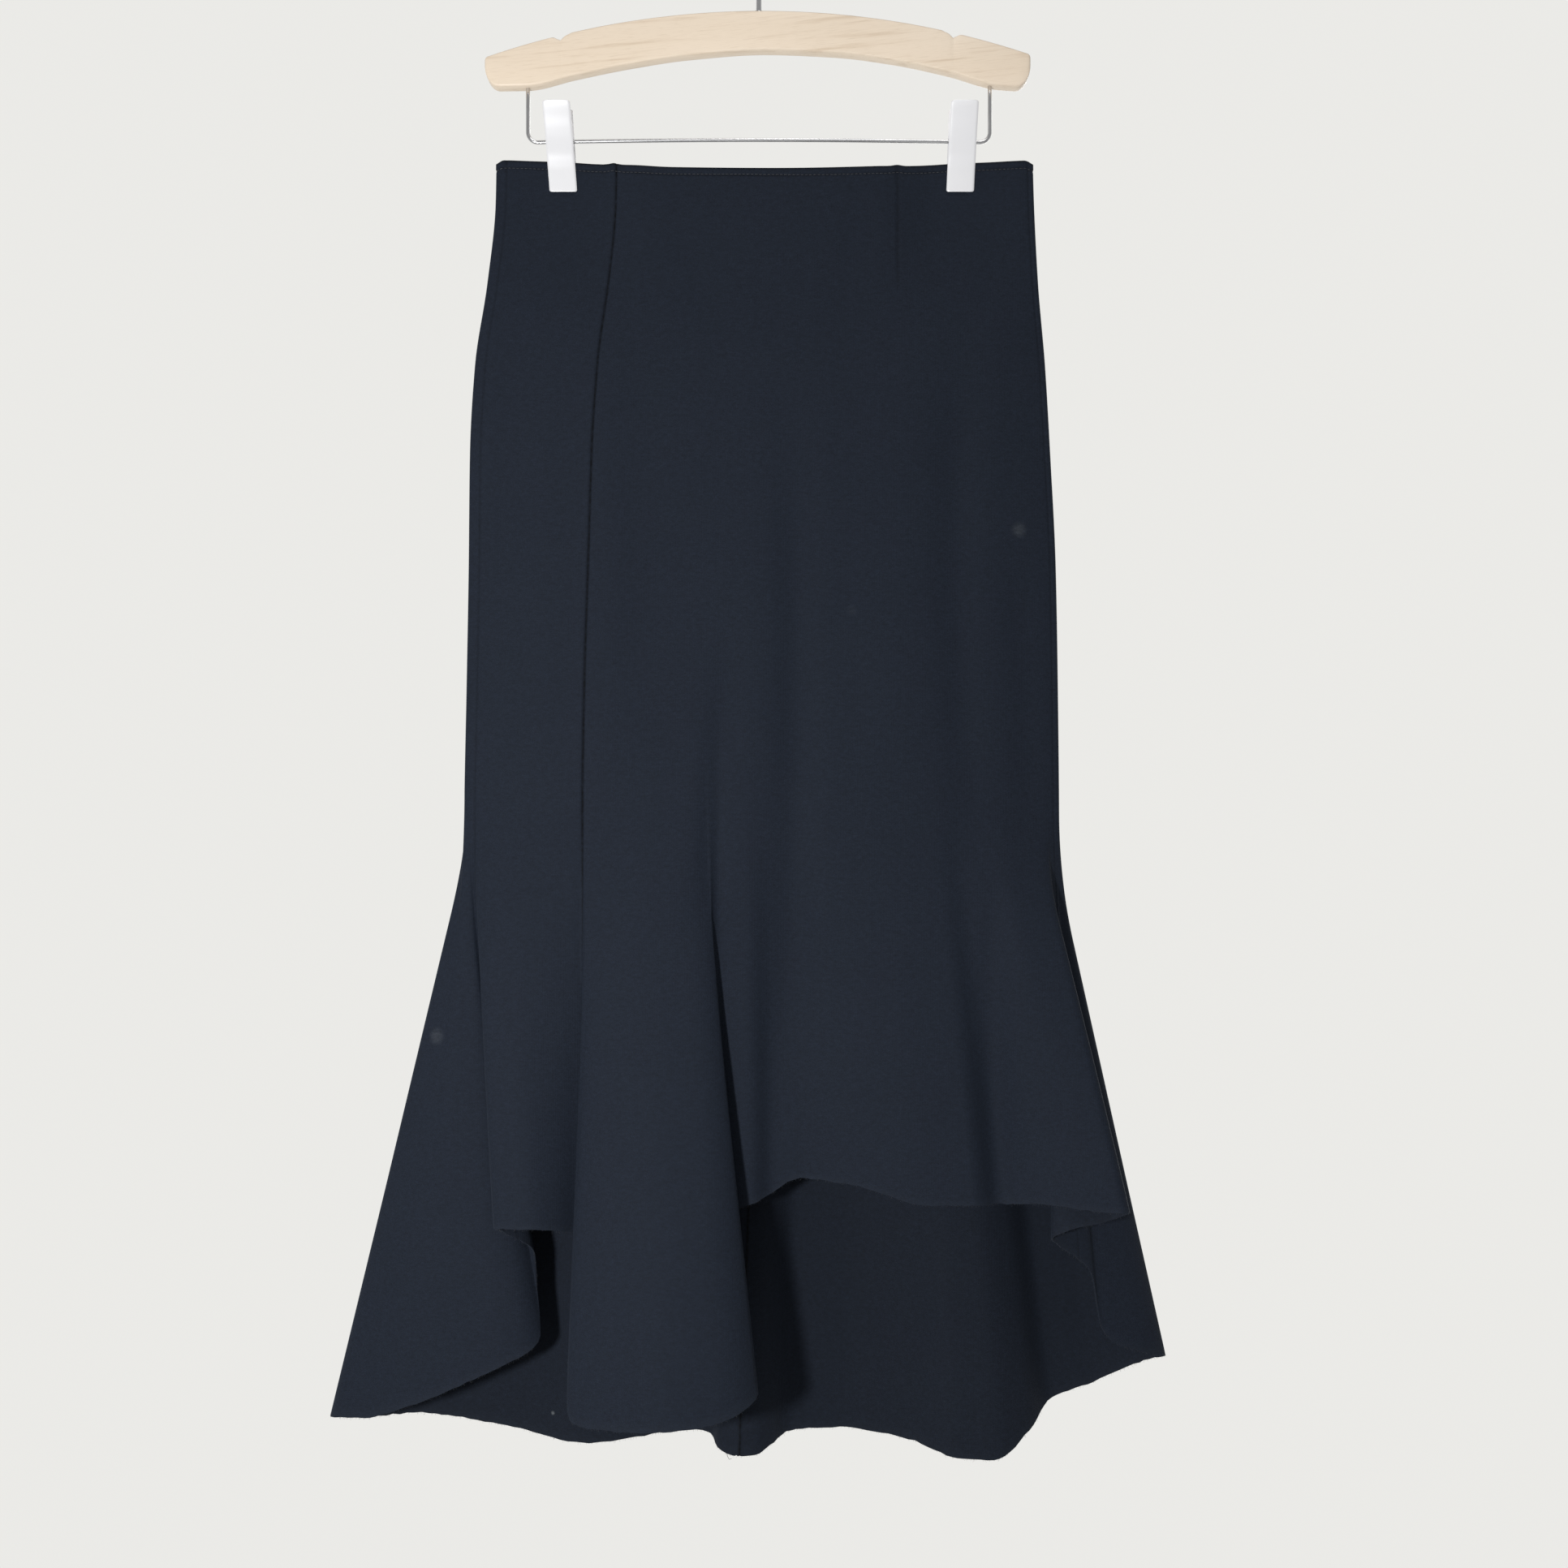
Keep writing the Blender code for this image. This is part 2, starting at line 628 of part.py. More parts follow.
def bar_height(x):
    share = (x - BAR_X[0]) / (BAR_X[1] - BAR_X[0])
    return BAR_Z + BAR_RISE * math.sin(math.pi * min(max(share, 0.0), 1.0))


def build_hanger(collection, cutters):
    build_wood(collection, cutters)
    wire_object("hook", hook_route(), HOOK_WIRE, "steel", collection)
    wire_object("trouser_bar", bar_route(), BAR_WIRE, "steel", collection)
    for side, clip_x, tilt in zip(("left", "right"), CLIP_X, CLIP_TILT):
        build_jaw(f"clip_{side}_front", clip_x, tilt, -1, collection)
        build_jaw(f"clip_{side}_back", clip_x, tilt, 1, collection)
        build_spring(f"clip_{side}_spring", clip_x, collection)


def main():
    for thing in list(bpy.data.objects):
        bpy.data.objects.remove(thing, do_unlink=True)
    collection = bpy.data.collections.new("mermaid_skirt")
    cutters = bpy.data.collections.new("cutters")
    for group in (collection, cutters):
        bpy.context.scene.collection.children.link(group)
    build_skirt(collection)
    build_hanger(collection, cutters)


main()
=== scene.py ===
"""The looks of a mermaid fishtail skirt that hangs from a wooden clip hanger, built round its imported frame.

The cloth is four thin knit panels, rebuilt finely on the forms of their solids. Lengths in the tables are
millimetres, in the frame's axes: +Z up, the front towards -Y.
"""

import math
import random

import bmesh
import bpy
import numpy as np
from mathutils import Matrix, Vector


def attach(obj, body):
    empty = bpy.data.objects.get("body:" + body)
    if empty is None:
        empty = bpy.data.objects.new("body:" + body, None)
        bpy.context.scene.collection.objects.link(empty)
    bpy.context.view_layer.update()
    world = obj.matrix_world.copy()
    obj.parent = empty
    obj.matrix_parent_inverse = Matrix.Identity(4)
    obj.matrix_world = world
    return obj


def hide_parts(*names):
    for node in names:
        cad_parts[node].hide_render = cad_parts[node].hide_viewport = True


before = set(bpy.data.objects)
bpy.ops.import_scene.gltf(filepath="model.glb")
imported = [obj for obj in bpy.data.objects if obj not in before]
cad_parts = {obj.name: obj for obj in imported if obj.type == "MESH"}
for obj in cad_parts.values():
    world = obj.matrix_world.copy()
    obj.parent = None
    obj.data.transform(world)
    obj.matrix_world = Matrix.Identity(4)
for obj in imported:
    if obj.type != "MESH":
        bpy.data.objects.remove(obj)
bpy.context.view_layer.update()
MM = 0.001

# ---------------------------------------------------------------- camera

CAMERA_AT = (16.4, -1100.0, -581.6)
CAMERA_LENS = 38.74
SENSOR_WIDTH = 36.0
NEAREST_SEEN = 0.01

camera_data = bpy.data.cameras.new("camera")
camera_data.lens = CAMERA_LENS
camera_data.sensor_width = SENSOR_WIDTH
camera_data.clip_start = NEAREST_SEEN
camera = bpy.data.objects.new("camera", camera_data)
camera.location = [c * MM for c in CAMERA_AT]
camera.rotation_euler = (math.radians(90.0), 0.0, 0.0)
bpy.context.scene.collection.objects.link(camera)
bpy.context.scene.camera = camera

# ---------------------------------------------------------------- the cloth's tables

FOLD_FLOOR = 1.6
CLIP_FLOOR = 0.95
CLIP_X = (-129.5, 132.5)
PINCH_HALF_WIDTH = 15.0
PINCH_FADE = 42.0
PINCH_Z = (-202.0, -290.0)
DEPTH_EASE = 1.25
FLARE_SOFT_START = 0.07
ONE_ROUND = 4.0
WAIST_LEVEL = -180.0
TURN_SETTLED = 0.9
CREASE_FADE = 0.35
TINY = 1e-9

OUTLINE = (
    # z, left, right, half_depth of the closed tube
    (-176.0, -170.5, 178.0, 6.0),
    (-203.0, -171.0, 178.8, 7.5),
    (-256.0, -176.5, 181.5, 9.5),
    (-309.0, -184.5, 186.0, 11.5),
    (-367.0, -187.8, 189.4, 13.0),
    (-441.0, -188.6, 193.0, 14.5),
    (-520.0, -190.0, 194.4, 16.0),
    (-600.0, -191.5, 195.2, 17.0),
    (-700.0, -192.0, 195.5, 17.0),
)

WAIST_EDGE = (
    # x, z
    (-171.0, -176.0),
    (-128.0, -177.2),
    (-90.0, -180.0),
    (-55.0, -182.3),
    (10.0, -182.9),
    (85.0, -181.3),
    (122.0, -178.6),
    (178.0, -176.2),
)

# One row per rib, from the centre back round by the left, the front and the right.
RIBS = (
    # name, waist_turn, turn, leave, swing, x, y, z of the hem
    ("centre_back", 0.000, 0.000, -590, 0.23, -13, 4, -1021),
    ("tab_left_1", 0.030, 0.030, -590, 0.23, -21, 5, -1020),
    ("tab_left_2", 0.050, 0.050, -590, 0.23, -27, 11, -1018),
    ("tab_notch", 0.075, 0.075, -590, 0.23, -32, 24, -1014),
    ("back_dip_1", 0.140, 0.140, -590, 0.23, -49, 30, -1013),
    ("back_lobe_1", 0.380, 0.380, -590, 0.23, -112, 13, -1016),
    ("back_slope_1", 0.560, 0.560, -590, 0.23, -168, 25, -1009),
    ("back_dip_2", 0.740, 0.740, -590, 0.23, -221, 31, -1003),
    ("back_turn_left", 0.900, 0.900, -580, 0.23, -256, 20, -1001),
    ("corner_left", 0.978, 0.978, -560, 0.23, -280, 4, -995),
    ("flare_left_1", 0.992, 0.992, -570, 0.23, -254, -10, -991),
    ("flare_left_2", 1.002, 1.002, -590, 0.23, -210, -19, -975),
    ("flare_left_3", 1.009, 1.009, -600, 0.30, -167, -21, -955),
    ("flare_left_4", 1.015, 1.015, -600, 0.35, -148, -18, -946),
    ("flare_left_tip", 1.020, 1.020, -600, 0.40, -141, -12, -937),
    ("flare_left_edge_1", 1.024, 1.024, -600, 0.40, -143, -9, -910),
    ("flare_left_edge_2", 1.028, 1.028, -600, 0.40, -145, -12, -884),
    ("flare_left_end", 1.032, 1.032, -600, 0.40, -148, -17, -877),
    ("seam_left", 1.037, 1.037, -600, 0.40, -155, -22, -872),
    ("tuck_left", 1.043, 1.043, -600, 0.40, -163, -27, -866),
    ("side_fold", 1.049, 1.049, -600, 0.40, -167, -32, -863),
    ("side_front_1", 1.060, 1.060, -600, 0.35, -161, -37, -862),
    ("side_front_2", 1.130, 1.140, -590, 0.23, -145, -38, -862),
    ("side_front_3", 1.310, 1.290, -590, 0.23, -127, -30, -865),
    ("side_front_4", 1.420, 1.380, -590, 0.23, -117, -22, -867),
    ("side_front_end", 1.436, 1.396, -590, 0.30, -110, -20, -867),
    ("seam_front", 1.448, 1.405, -590, 0.40, -109, -25, -868),
    ("ridge_edge_1", 1.458, 1.417, -590, 0.40, -115, -32, -891),
    ("ridge_edge_2", 1.468, 1.429, -590, 0.40, -119, -39, -944),
    ("ridge_edge_3", 1.480, 1.442, -590, 0.35, -119, -44, -970),
    ("ridge_corner", 1.494, 1.459, -590, 0.30, -115, -49, -980),
    ("ridge_1", 1.540, 1.520, -580, 0.23, -94, -58, -981),
    ("ridge_2", 1.670, 1.620, -570, 0.23, -53, -65, -979),
    ("ridge_3", 1.800, 1.720, -560, 0.26, -20, -61, -974),
    ("ridge_4", 1.855, 1.765, -550, 0.30, -5, -53, -967),
    ("ridge_tip", 1.885, 1.788, -545, 0.34, 0, -46, -962),
    ("ridge_return_1", 1.902, 1.806, -545, 0.36, -5, -41, -946),
    ("ridge_return_2", 1.914, 1.824, -545, 0.42, -23, -35, -881),
    ("ridge_root", 1.927, 1.842, -545, 0.42, -31, -28, -857),
    ("high_1", 1.942, 1.862, -545, 0.38, -26, -22, -856),
    ("high_2", 2.010, 1.945, -560, 0.28, -5, -24, -850),
    ("high_3", 2.060, 2.030, -560, 0.23, 9, -15, -844),
    ("high_4", 2.150, 2.130, -580, 0.23, 27, -15, -835),
    ("high_5", 2.300, 2.300, -590, 0.23, 60, -25, -837),
    ("high_6", 2.470, 2.470, -590, 0.23, 106, -33, -848),
    ("high_7", 2.580, 2.580, -590, 0.23, 137, -34, -848),
    ("high_8", 2.650, 2.650, -590, 0.23, 155, -26, -849),
    ("high_9", 2.750, 2.750, -590, 0.23, 184, -41, -846),
    ("high_10", 2.860, 2.860, -600, 0.23, 212, -53, -847),
    ("high_11", 2.930, 2.930, -600, 0.25, 227, -57, -847),
    ("high_tip", 2.948, 2.948, -600, 0.30, 231, -52, -848),
    ("under_1", 2.956, 2.956, -600, 0.35, 223, -47, -853),
    ("under_2", 2.964, 2.964, -600, 0.40, 194, -42, -862),
    ("under_turn", 2.970, 2.970, -600, 0.40, 185, -37, -868),
    ("tuck_right", 2.976, 2.976, -600, 0.40, 192, -31, -875),
    ("seam_right", 2.981, 2.981, -600, 0.35, 204, -27, -884),
    ("flap_edge_1", 2.985, 2.985, -600, 0.35, 212, -24, -893),
    ("flap_edge_2", 2.988, 2.988, -600, 0.35, 216, -22, -912),
    ("flap_edge_3", 2.991, 2.991, -600, 0.30, 219, -21, -928),
    ("flap_1", 2.994, 2.994, -600, 0.30, 228, -20, -939),
    ("flap_2", 2.998, 2.998, -600, 0.25, 249, -15, -947),
    ("corner_right", 3.004, 3.004, -600, 0.23, 264, -3, -953),
    ("back_turn_right", 3.070, 3.070, -590, 0.23, 254, 14, -962),
    ("back_dip_3", 3.150, 3.150, -590, 0.23, 220, 30, -983),
    ("back_slope_2", 3.220, 3.220, -590, 0.23, 196, 31, -992),
    ("back_lobe_2", 3.290, 3.290, -590, 0.23, 178, 14, -1008),
    ("back_lobe_3", 3.370, 3.370, -590, 0.23, 154, 4, -1024),
    ("back_lobe_4", 3.430, 3.430, -590, 0.23, 130, 5, -1023),
    ("back_slope_3", 3.550, 3.550, -590, 0.23, 99, 20, -1016),
    ("back_dip_4", 3.720, 3.720, -590, 0.23, 54, 30, -1012),
    ("back_dip_5", 3.870, 3.870, -590, 0.23, 21, 27, -1013),
    ("tab_right_1", 3.930, 3.930, -590, 0.23, 7, 12, -1017),
    ("tab_right_2", 3.965, 3.965, -590, 0.23, -3, 5, -1021),
)

PANELS = (
    # piece, replaced node, first seam, last seam
    ("back_left_cloth", "back_left_panel", "centre_back", "seam_left"),
    ("front_left_cloth", "front_left_panel", "seam_left", "seam_front"),
    ("front_main_cloth", "front_main_panel", "seam_front", "seam_right"),
    ("back_right_cloth", "back_right_panel", "seam_right", "centre_back"),
)

# Soft troughs and ridges of the closed part, each along a leaning line, on the front or the back.
CREASES = (
    # face, x_top, z_top, x_middle, x_low, z_low, half_width, height (outward is +)
    ("front", 21.0, -300.0, 24.0, 12.0, -850.0, 13.0, -4.2),
    ("front", -16.0, -470.0, -27.0, -38.0, -700.0, 10.0, -2.4),
    ("front", 134.0, -240.0, 129.0, 146.0, -680.0, 14.0, -2.8),
    ("front", 150.0, -600.0, 152.0, 153.0, -900.0, 9.0, -3.2),
    ("front", 92.0, -300.0, 90.0, 100.0, -640.0, 26.0, 1.2),
    ("front", -158.0, -215.0, -162.0, -160.0, -520.0, 9.0, -2.2),
    ("front", -104.0, -240.0, -98.0, -100.0, -640.0, 16.0, 1.9),
    ("front", -60.0, -200.0, -40.0, -22.0, -300.0, 13.0, -0.8),
    ("front", 74.0, -196.0, 60.0, 44.0, -290.0, 13.0, -0.7),
    ("front", 168.0, -400.0, 172.0, 176.0, -640.0, 9.0, -1.2),
    ("back", -62.0, -260.0, -70.0, -58.0, -660.0, 20.0, -2.0),
    ("back", 66.0, -300.0, 58.0, 70.0, -650.0, 18.0, -1.8),
    ("back", 138.0, -250.0, 142.0, 150.0, -560.0, 14.0, -1.4),
    ("back", -140.0, -330.0, -138.0, -150.0, -640.0, 13.0, -1.3),
)

CLOTH = 1.1
COLUMN_STEP = 5.0
ROW_STEP = 7.0
FLARE_ROWS = 60
# Rows close together at the turned waist edge and its stitching, then even ones from PLAIN_ROWS_FROM.
WAIST_ROWS = (0.0, 0.5, 1.3, 2.4, 3.5, 4.1, 4.4, 4.7, 5.2, 6.2, 8.0, 11.0)
PLAIN_ROWS_FROM = 15.0
SEAM_COLUMNS = (0.7, 1.5, 2.6)
CROWDED = 0.8
SEAM_STRENGTH = {"centre_back": 1.0, "seam_left": 0.3, "seam_front": 1.0, "seam_right": 0.3}
SEAM_SHIFT = -0.03
SEAM_DEEP = 0.9
SEAM_REACH = 0.9
SEAM_LINE = 0.75
WAIST_FOLD = 5.2
FOLD_START = 0.6
FOLD_FADE = 0.8
FOLD_THICK = 0.75
RIM_RISE = 0.25
RIM_END = 3.6
RIM_FADE = 1.2
LIP_RISE = 0.75
STITCH_DROP = 4.4
STITCH_GROOVE = 0.4
STITCH_REACH = 0.55
DART_RIB = "high_6"
DART_COLUMNS = 22
DART_Z = (-182.0, -266.0)
DART_X = 90.0
DART_START = 2.0
DART_FADE = 22.0
DART_REACH = 1.2
DART_DEEP = 0.45
WAIST_BUMPS = ((-94.2, 1.1), (89.9, 0.8))
WAIST_BUMP_REACH = 3.5
RAGGED = 0.45
CORNER_DROP = 2.0
CORNER_REACH = 2.6
CORNER_ANGLE = math.radians(62.0)
INNER_SHARE = 0.5
# How strongly each place is made pale or shaded dark: the pale raw hem is partly a painted highlight, and the
# inner layer gets painted shade.
HEM_PALE_AND_HIGHLIGHT, HEM_PALE_AND_HIGHLIGHT_REACH = 0.12, 0.8
SEAM_SHADE = 0.92
DART_SHADE = 0.35
WAIST_SHADE, WAIST_SHADE_REACH = 0.75, 0.9
STITCH_SHADE, STITCH_SHADE_REACH = 0.5, 0.7
# Painted shade added to the whole inner layer, for the shadow inside the skirt.
INNER_PAINTED_SHADE = 0.22

# ---------------------------------------------------------------- reading the tables


def hermite(t, start, start_slope, end, end_slope):
    """A cubic from start to end as t runs from 0 to 1, with its slopes at both."""
    return (
        (2 * t**3 - 3 * t**2 + 1) * start
        + (t**3 - 2 * t**2 + t) * start_slope
        + (3 * t**2 - 2 * t**3) * end
        + (t**3 - t**2) * end_slope
    )


def smooth_slopes(xs, ys):
    """Slopes at the points of a smooth curve that never overshoots them."""
    h = np.diff(xs)
    d = np.diff(ys) / h
    slopes = np.zeros(len(ys))
    slopes[0], slopes[-1] = d[0], d[-1]
    for i in range(1, len(ys) - 1):
        if d[i - 1] * d[i] > 0:
            w1, w2 = 2 * h[i] + h[i - 1], h[i] + 2 * h[i - 1]
            slopes[i] = (w1 + w2) / (w1 / d[i - 1] + w2 / d[i])
    return slopes


def smooth_reading(xs, ys, at):
    """The smooth curve through (xs, ys), read at an array."""
    xs, ys = np.asarray(xs, float), np.asarray(ys, float)
    order = np.argsort(xs)
    xs, ys = xs[order], ys[order]
    slopes = smooth_slopes(xs, ys)
    at = np.clip(at, xs[0], xs[-1])
    i = np.clip(np.searchsorted(xs, at) - 1, 0, len(xs) - 2)
    h = xs[i + 1] - xs[i]
    return hermite((at - xs[i]) / h, ys[i], h * slopes[i], ys[i + 1], h * slopes[i + 1])


def fade(value):
    """1 at 0 or less, 0 at 1 or more, smooth between."""
    value = np.clip(value, 0.0, 1.0)
    return 1.0 - value * value * (3.0 - 2.0 * value)


def bump(value):
    """A soft hill: 1 at 0, dying away past 1."""
    return np.exp(-(value**2))


def rounded(distance, radius):
    """How much a quarter circle is short of full height, as a share, at a distance in from its end."""
    if distance >= radius:
        return 0.0
    return 1.0 - math.sqrt(max(0.0, 1.0 - (1.0 - distance / radius) ** 2))


def column_shares(name, following, length):
    """Where the columns of one stretch between two ribs lie, closer beside a seam and over the dart."""
    if name == DART_RIB:
        return [i / DART_COLUMNS for i in range(DART_COLUMNS)]
    count = max(2, math.ceil(length / COLUMN_STEP))
    shares = [i / count for i in range(count)]
    near = [d / length for d in SEAM_COLUMNS if d < length / count * CROWDED]
    if name in SEAM_STRENGTH:
        shares += near
    if following in SEAM_STRENGTH:
        shares += [1.0 - share for share in near]
    return sorted(shares)


def fine_ribs():
    """Each column's values between the table's ribs, and the columns of the named ribs."""
    keys = np.array([row[1:] for row in RIBS], float)
    following = np.roll(keys, -1, axis=0)
    following[-1, :2] += ONE_ROUND
    steps = following - keys
    before = np.roll(steps, 1, axis=0)
    same = steps * before > 0
    slopes = np.where(same, 2 * steps * before / np.where(same, steps + before, 1.0), 0.0)
    after = np.roll(slopes, -1, axis=0)
    columns, index_of = [], {}
    for i, row in enumerate(RIBS):
        index_of[row[0]] = len(columns)
        length = float(np.linalg.norm(steps[i, 4:]))
        for t in column_shares(row[0], RIBS[(i + 1) % len(RIBS)][0], length):
            columns.append(hermite(t, keys[i], slopes[i], following[i], after[i]))
    return np.array(columns), index_of


def tube_point(turn, z):
    """(x, y) of the closed tube at arrays of turns and heights, and which lie on the front.

    A turn of 0 is the centre back, 1 the left side, 2 the centre front and 3 the right side.
    """
    levels = [row[0] for row in OUTLINE]
    left, right, depth = (smooth_reading(levels, [row[k] for row in OUTLINE], z) for k in (1, 2, 3))
    turn = np.mod(turn, ONE_ROUND)
    front = (turn > 1.0) & (turn < 3.0)
    across = np.where(front, turn - 2.0, np.where(turn <= 1.0, -turn, ONE_ROUND - turn))
    middle, half = (left + right) / 2.0, (right - left) / 2.0
    x = middle + across * half
    nearest = np.min([np.abs(x - clip) for clip in CLIP_X], axis=0)
    pinch = fade((nearest - PINCH_HALF_WIDTH) / PINCH_FADE)
    pinch = pinch * fade((PINCH_Z[0] - z) / (PINCH_Z[0] - PINCH_Z[1]))
    floor = FOLD_FLOOR + (CLIP_FLOOR - FOLD_FLOOR) * pinch
    lens = (depth - FOLD_FLOOR) * (1.0 - across**4) * (1.0 - pinch)
    from_edge = half * (1.0 - np.abs(across))
    arc = np.clip(1.0 - (1.0 - np.minimum(from_edge, FOLD_FLOOR) / FOLD_FLOOR) ** 2, 0.0, 1.0)
    y = (floor + lens) * np.sqrt(arc)
    return x, np.where(front, -y, y), front


def sideways_ease(share, swing):
    """How far the flare has gone sideways: it starts softly, over the swing, then runs straight."""
    straight = 1.0 - swing / 2.0
    return np.where(share < swing, share * share / (2.0 * swing), share - swing / 2.0) / straight


def depth_ease(share):
    """How far the flare has gone in depth: most of it in the upper part, after a soft start."""
    soft = share * share / (share + FLARE_SOFT_START) * (1.0 + FLARE_SOFT_START)
    return 1.0 - (1.0 - soft) ** DEPTH_EASE


def waist_heights(waist_turn):
    """The height of the waist edge at each column."""
    x, _, _ = tube_point(waist_turn, np.full_like(waist_turn, WAIST_LEVEL))
    top = smooth_reading(*zip(*WAIST_EDGE), x)
    past_left_side = np.mod(waist_turn, ONE_ROUND) > 1.0
    for bump_x, height in WAIST_BUMPS:
        top = top + height * bump((x - bump_x) / WAIST_BUMP_REACH) * past_left_side
    in_from_side = np.minimum(x - OUTLINE[0][1], OUTLINE[0][2] - x)
    return top - CORNER_DROP * bump(in_from_side / CORNER_REACH)


def creases(x, z, face):
    """How far the soft troughs and ridges move the cloth, in y."""
    moved = np.zeros_like(x)
    for side, x_top, z_top, x_middle, x_low, z_low, half_width, height in CREASES:
        share = (z_top - z) / (z_top - z_low)
        line = (
            2 * (share - 0.5) * (share - 1.0) * x_top
            - 4 * share * (share - 1.0) * x_middle
            + 2 * share * (share - 0.5) * x_low
        )
        along = (1.0 - fade(share / CREASE_FADE)) * fade((share - 1.0 + CREASE_FADE) / CREASE_FADE)
        hill = bump((x - line) / half_width) * along * (face == side)
        moved += hill * height * (-1.0 if side == "front" else 1.0)
    return moved


def cloth_points():
    """The grid of the cloth's middle surface, columns by rows, with the drop below the waist edge."""
    columns, index_of = fine_ribs()
    waist_turn, turn, leave, swing, hem_x, hem_y, hem_z = (columns[:, k, None] for k in range(7))
    top = waist_heights(waist_turn)
    # The columns of the closed part are nearly equally long, so the first rows lie about where listed.
    tube_length = float(np.mean(top - leave))
    plain_rows = np.linspace(PLAIN_ROWS_FROM, tube_length, int(tube_length / ROW_STEP))[:-1]
    drops = np.concatenate([WAIST_ROWS, plain_rows])[None, :] / tube_length
    z_tube = top - drops * (top - leave)
    share = np.linspace(0.0, 1.0, FLARE_ROWS)[None, :]
    z_flare = leave + share * (hem_z - leave)
    settled = 1.0 - fade(np.clip(drops / TURN_SETTLED, 0.0, 1.0))
    x_tube, y_tube, front = tube_point(waist_turn + (turn - waist_turn) * settled, z_tube)
    x_start, y_start, _ = tube_point(turn, leave)
    x_flare = x_start + sideways_ease(share, swing) * (hem_x - x_start)
    y_flare = y_start + depth_ease(share) * (hem_y - y_start)
    x = np.concatenate([x_tube, x_flare], axis=1)
    y = np.concatenate([y_tube, y_flare], axis=1)
    z = np.concatenate([z_tube, z_flare], axis=1)
    face = np.where(front[:, -1:], "front", "back")
    y = y + creases(x, z, face)
    return np.stack([x, y, z], axis=2), index_of, top - z


def unit(vectors):
    return vectors / np.maximum(np.linalg.norm(vectors, axis=2, keepdims=True), TINY)


def ring_frames(points):
    """Unit directions round the ring, and outward normals."""
    ahead = unit(np.roll(points, -1, axis=0) - points)
    behind = unit(points - np.roll(points, 1, axis=0))
    around = unit(ahead + behind)
    up = np.empty_like(points)
    up[:, 1:-1] = points[:, :-2] - points[:, 2:]
    up[:, 0] = points[:, 0] - points[:, 1]
    up[:, -1] = points[:, -2] - points[:, -1]
    return around, unit(np.cross(around, up))


# ---------------------------------------------------------------- materials

# The sockets of a colour mix: its share and its two colours, and the one it gives.
MIX_SHARE, MIX_FIRST, MIX_SECOND, MIX_RESULT = 0, 6, 7, 2


def new_material(name, roughness, metallic=0.0):
    made = bpy.data.materials.new(name)
    made.use_nodes = True
    tree = made.node_tree
    shader = tree.nodes["Principled BSDF"]
    set_inputs(shader, {"Roughness": roughness, "Metallic": metallic})
    return made, tree, shader


def add_node(tree, kind, **settings):
    node = tree.nodes.new(kind)
    for key, value in settings.items():
        setattr(node, key, value)
    return node


def set_inputs(node, values):
    for name, value in values.items():
        node.inputs[name].default_value = value


def link(tree, source, target):
    tree.links.new(source, target)


def object_space(tree):
    return add_node(tree, "ShaderNodeTexCoord").outputs["Object"]


def noise(tree, vector, scale, detail=2.0, roughness=0.5):
    made = add_node(tree, "ShaderNodeTexNoise")
    set_inputs(made, {"Scale": scale, "Detail": detail, "Roughness": roughness})
    link(tree, vector, made.inputs["Vector"])
    return made.outputs["Fac"]


def combined(tree, operation, first, second, clamp=False):
    """Two values added or multiplied. The second may be a plain number."""
    made = add_node(tree, "ShaderNodeMath", operation=operation, use_clamp=clamp)
    link(tree, first, made.inputs[0])
    if isinstance(second, float):
        made.inputs[1].default_value = second
    else:
        link(tree, second, made.inputs[1])
    return made.outputs[0]


def scaled(tree, value, factor, offset):
    made = add_node(tree, "ShaderNodeMath", operation="MULTIPLY_ADD")
    link(tree, value, made.inputs[0])
    made.inputs[1].default_value = factor
    made.inputs[2].default_value = offset
    return made.outputs[0]


def ramp(tree, value, low, high, at_low, at_high):
    """A smooth step: at_low where the value is low or less, at_high where it is high or more."""
    made = add_node(tree, "ShaderNodeMapRange", interpolation_type="SMOOTHSTEP")
    set_inputs(made, {"From Min": low, "From Max": high, "To Min": at_low, "To Max": at_high})
    link(tree, value, made.inputs["Value"])
    return made.outputs["Result"]


def mix_colour(tree, share, first, second, blend="MIX"):
    made = add_node(tree, "ShaderNodeMix", data_type="RGBA", blend_type=blend)
    for index, value in ((MIX_SHARE, share), (MIX_FIRST, first), (MIX_SECOND, second)):
        if isinstance(value, float):
            made.inputs[index].default_value = value
        elif isinstance(value, tuple):
            made.inputs[index].default_value = (*value, 1.0)
        else:
            link(tree, value, made.inputs[index])
    return made.outputs[MIX_RESULT]


def grey(tree, value):
    """A grey of the value, for multiplying."""
    made = add_node(tree, "ShaderNodeCombineColor")
    for socket in made.inputs[:3]:
        link(tree, value, socket)
    return made.outputs[0]


def stretched(tree, coordinates, scale):
    mapping = add_node(tree, "ShaderNodeMapping")
    mapping.inputs["Scale"].default_value = scale
    link(tree, coordinates, mapping.inputs["Vector"])
    return mapping.outputs["Vector"]


def relief(tree, height, strength, distance, below=None):
    """The normal of a fine relief. below is the normal of a finer one that it carries."""
    made = add_node(tree, "ShaderNodeBump")
    set_inputs(made, {"Strength": strength, "Distance": distance})
    link(tree, height, made.inputs["Height"])
    if below is not None:
        link(tree, below, made.inputs["Normal"])
    return made.outputs["Normal"]


# The wave texture repeats pi / 10 of a unit at scale 1, so this over the pitch in mm gives its scale.
WAVES_PER_METRE = 1000.0 * math.pi / 10.0
WALE_MM = 1.1
COURSE_MM = 0.9
KNIT_DEEP = (0.0076, 0.0110, 0.0188)
KNIT_PALE = (0.0094, 0.0132, 0.0219)
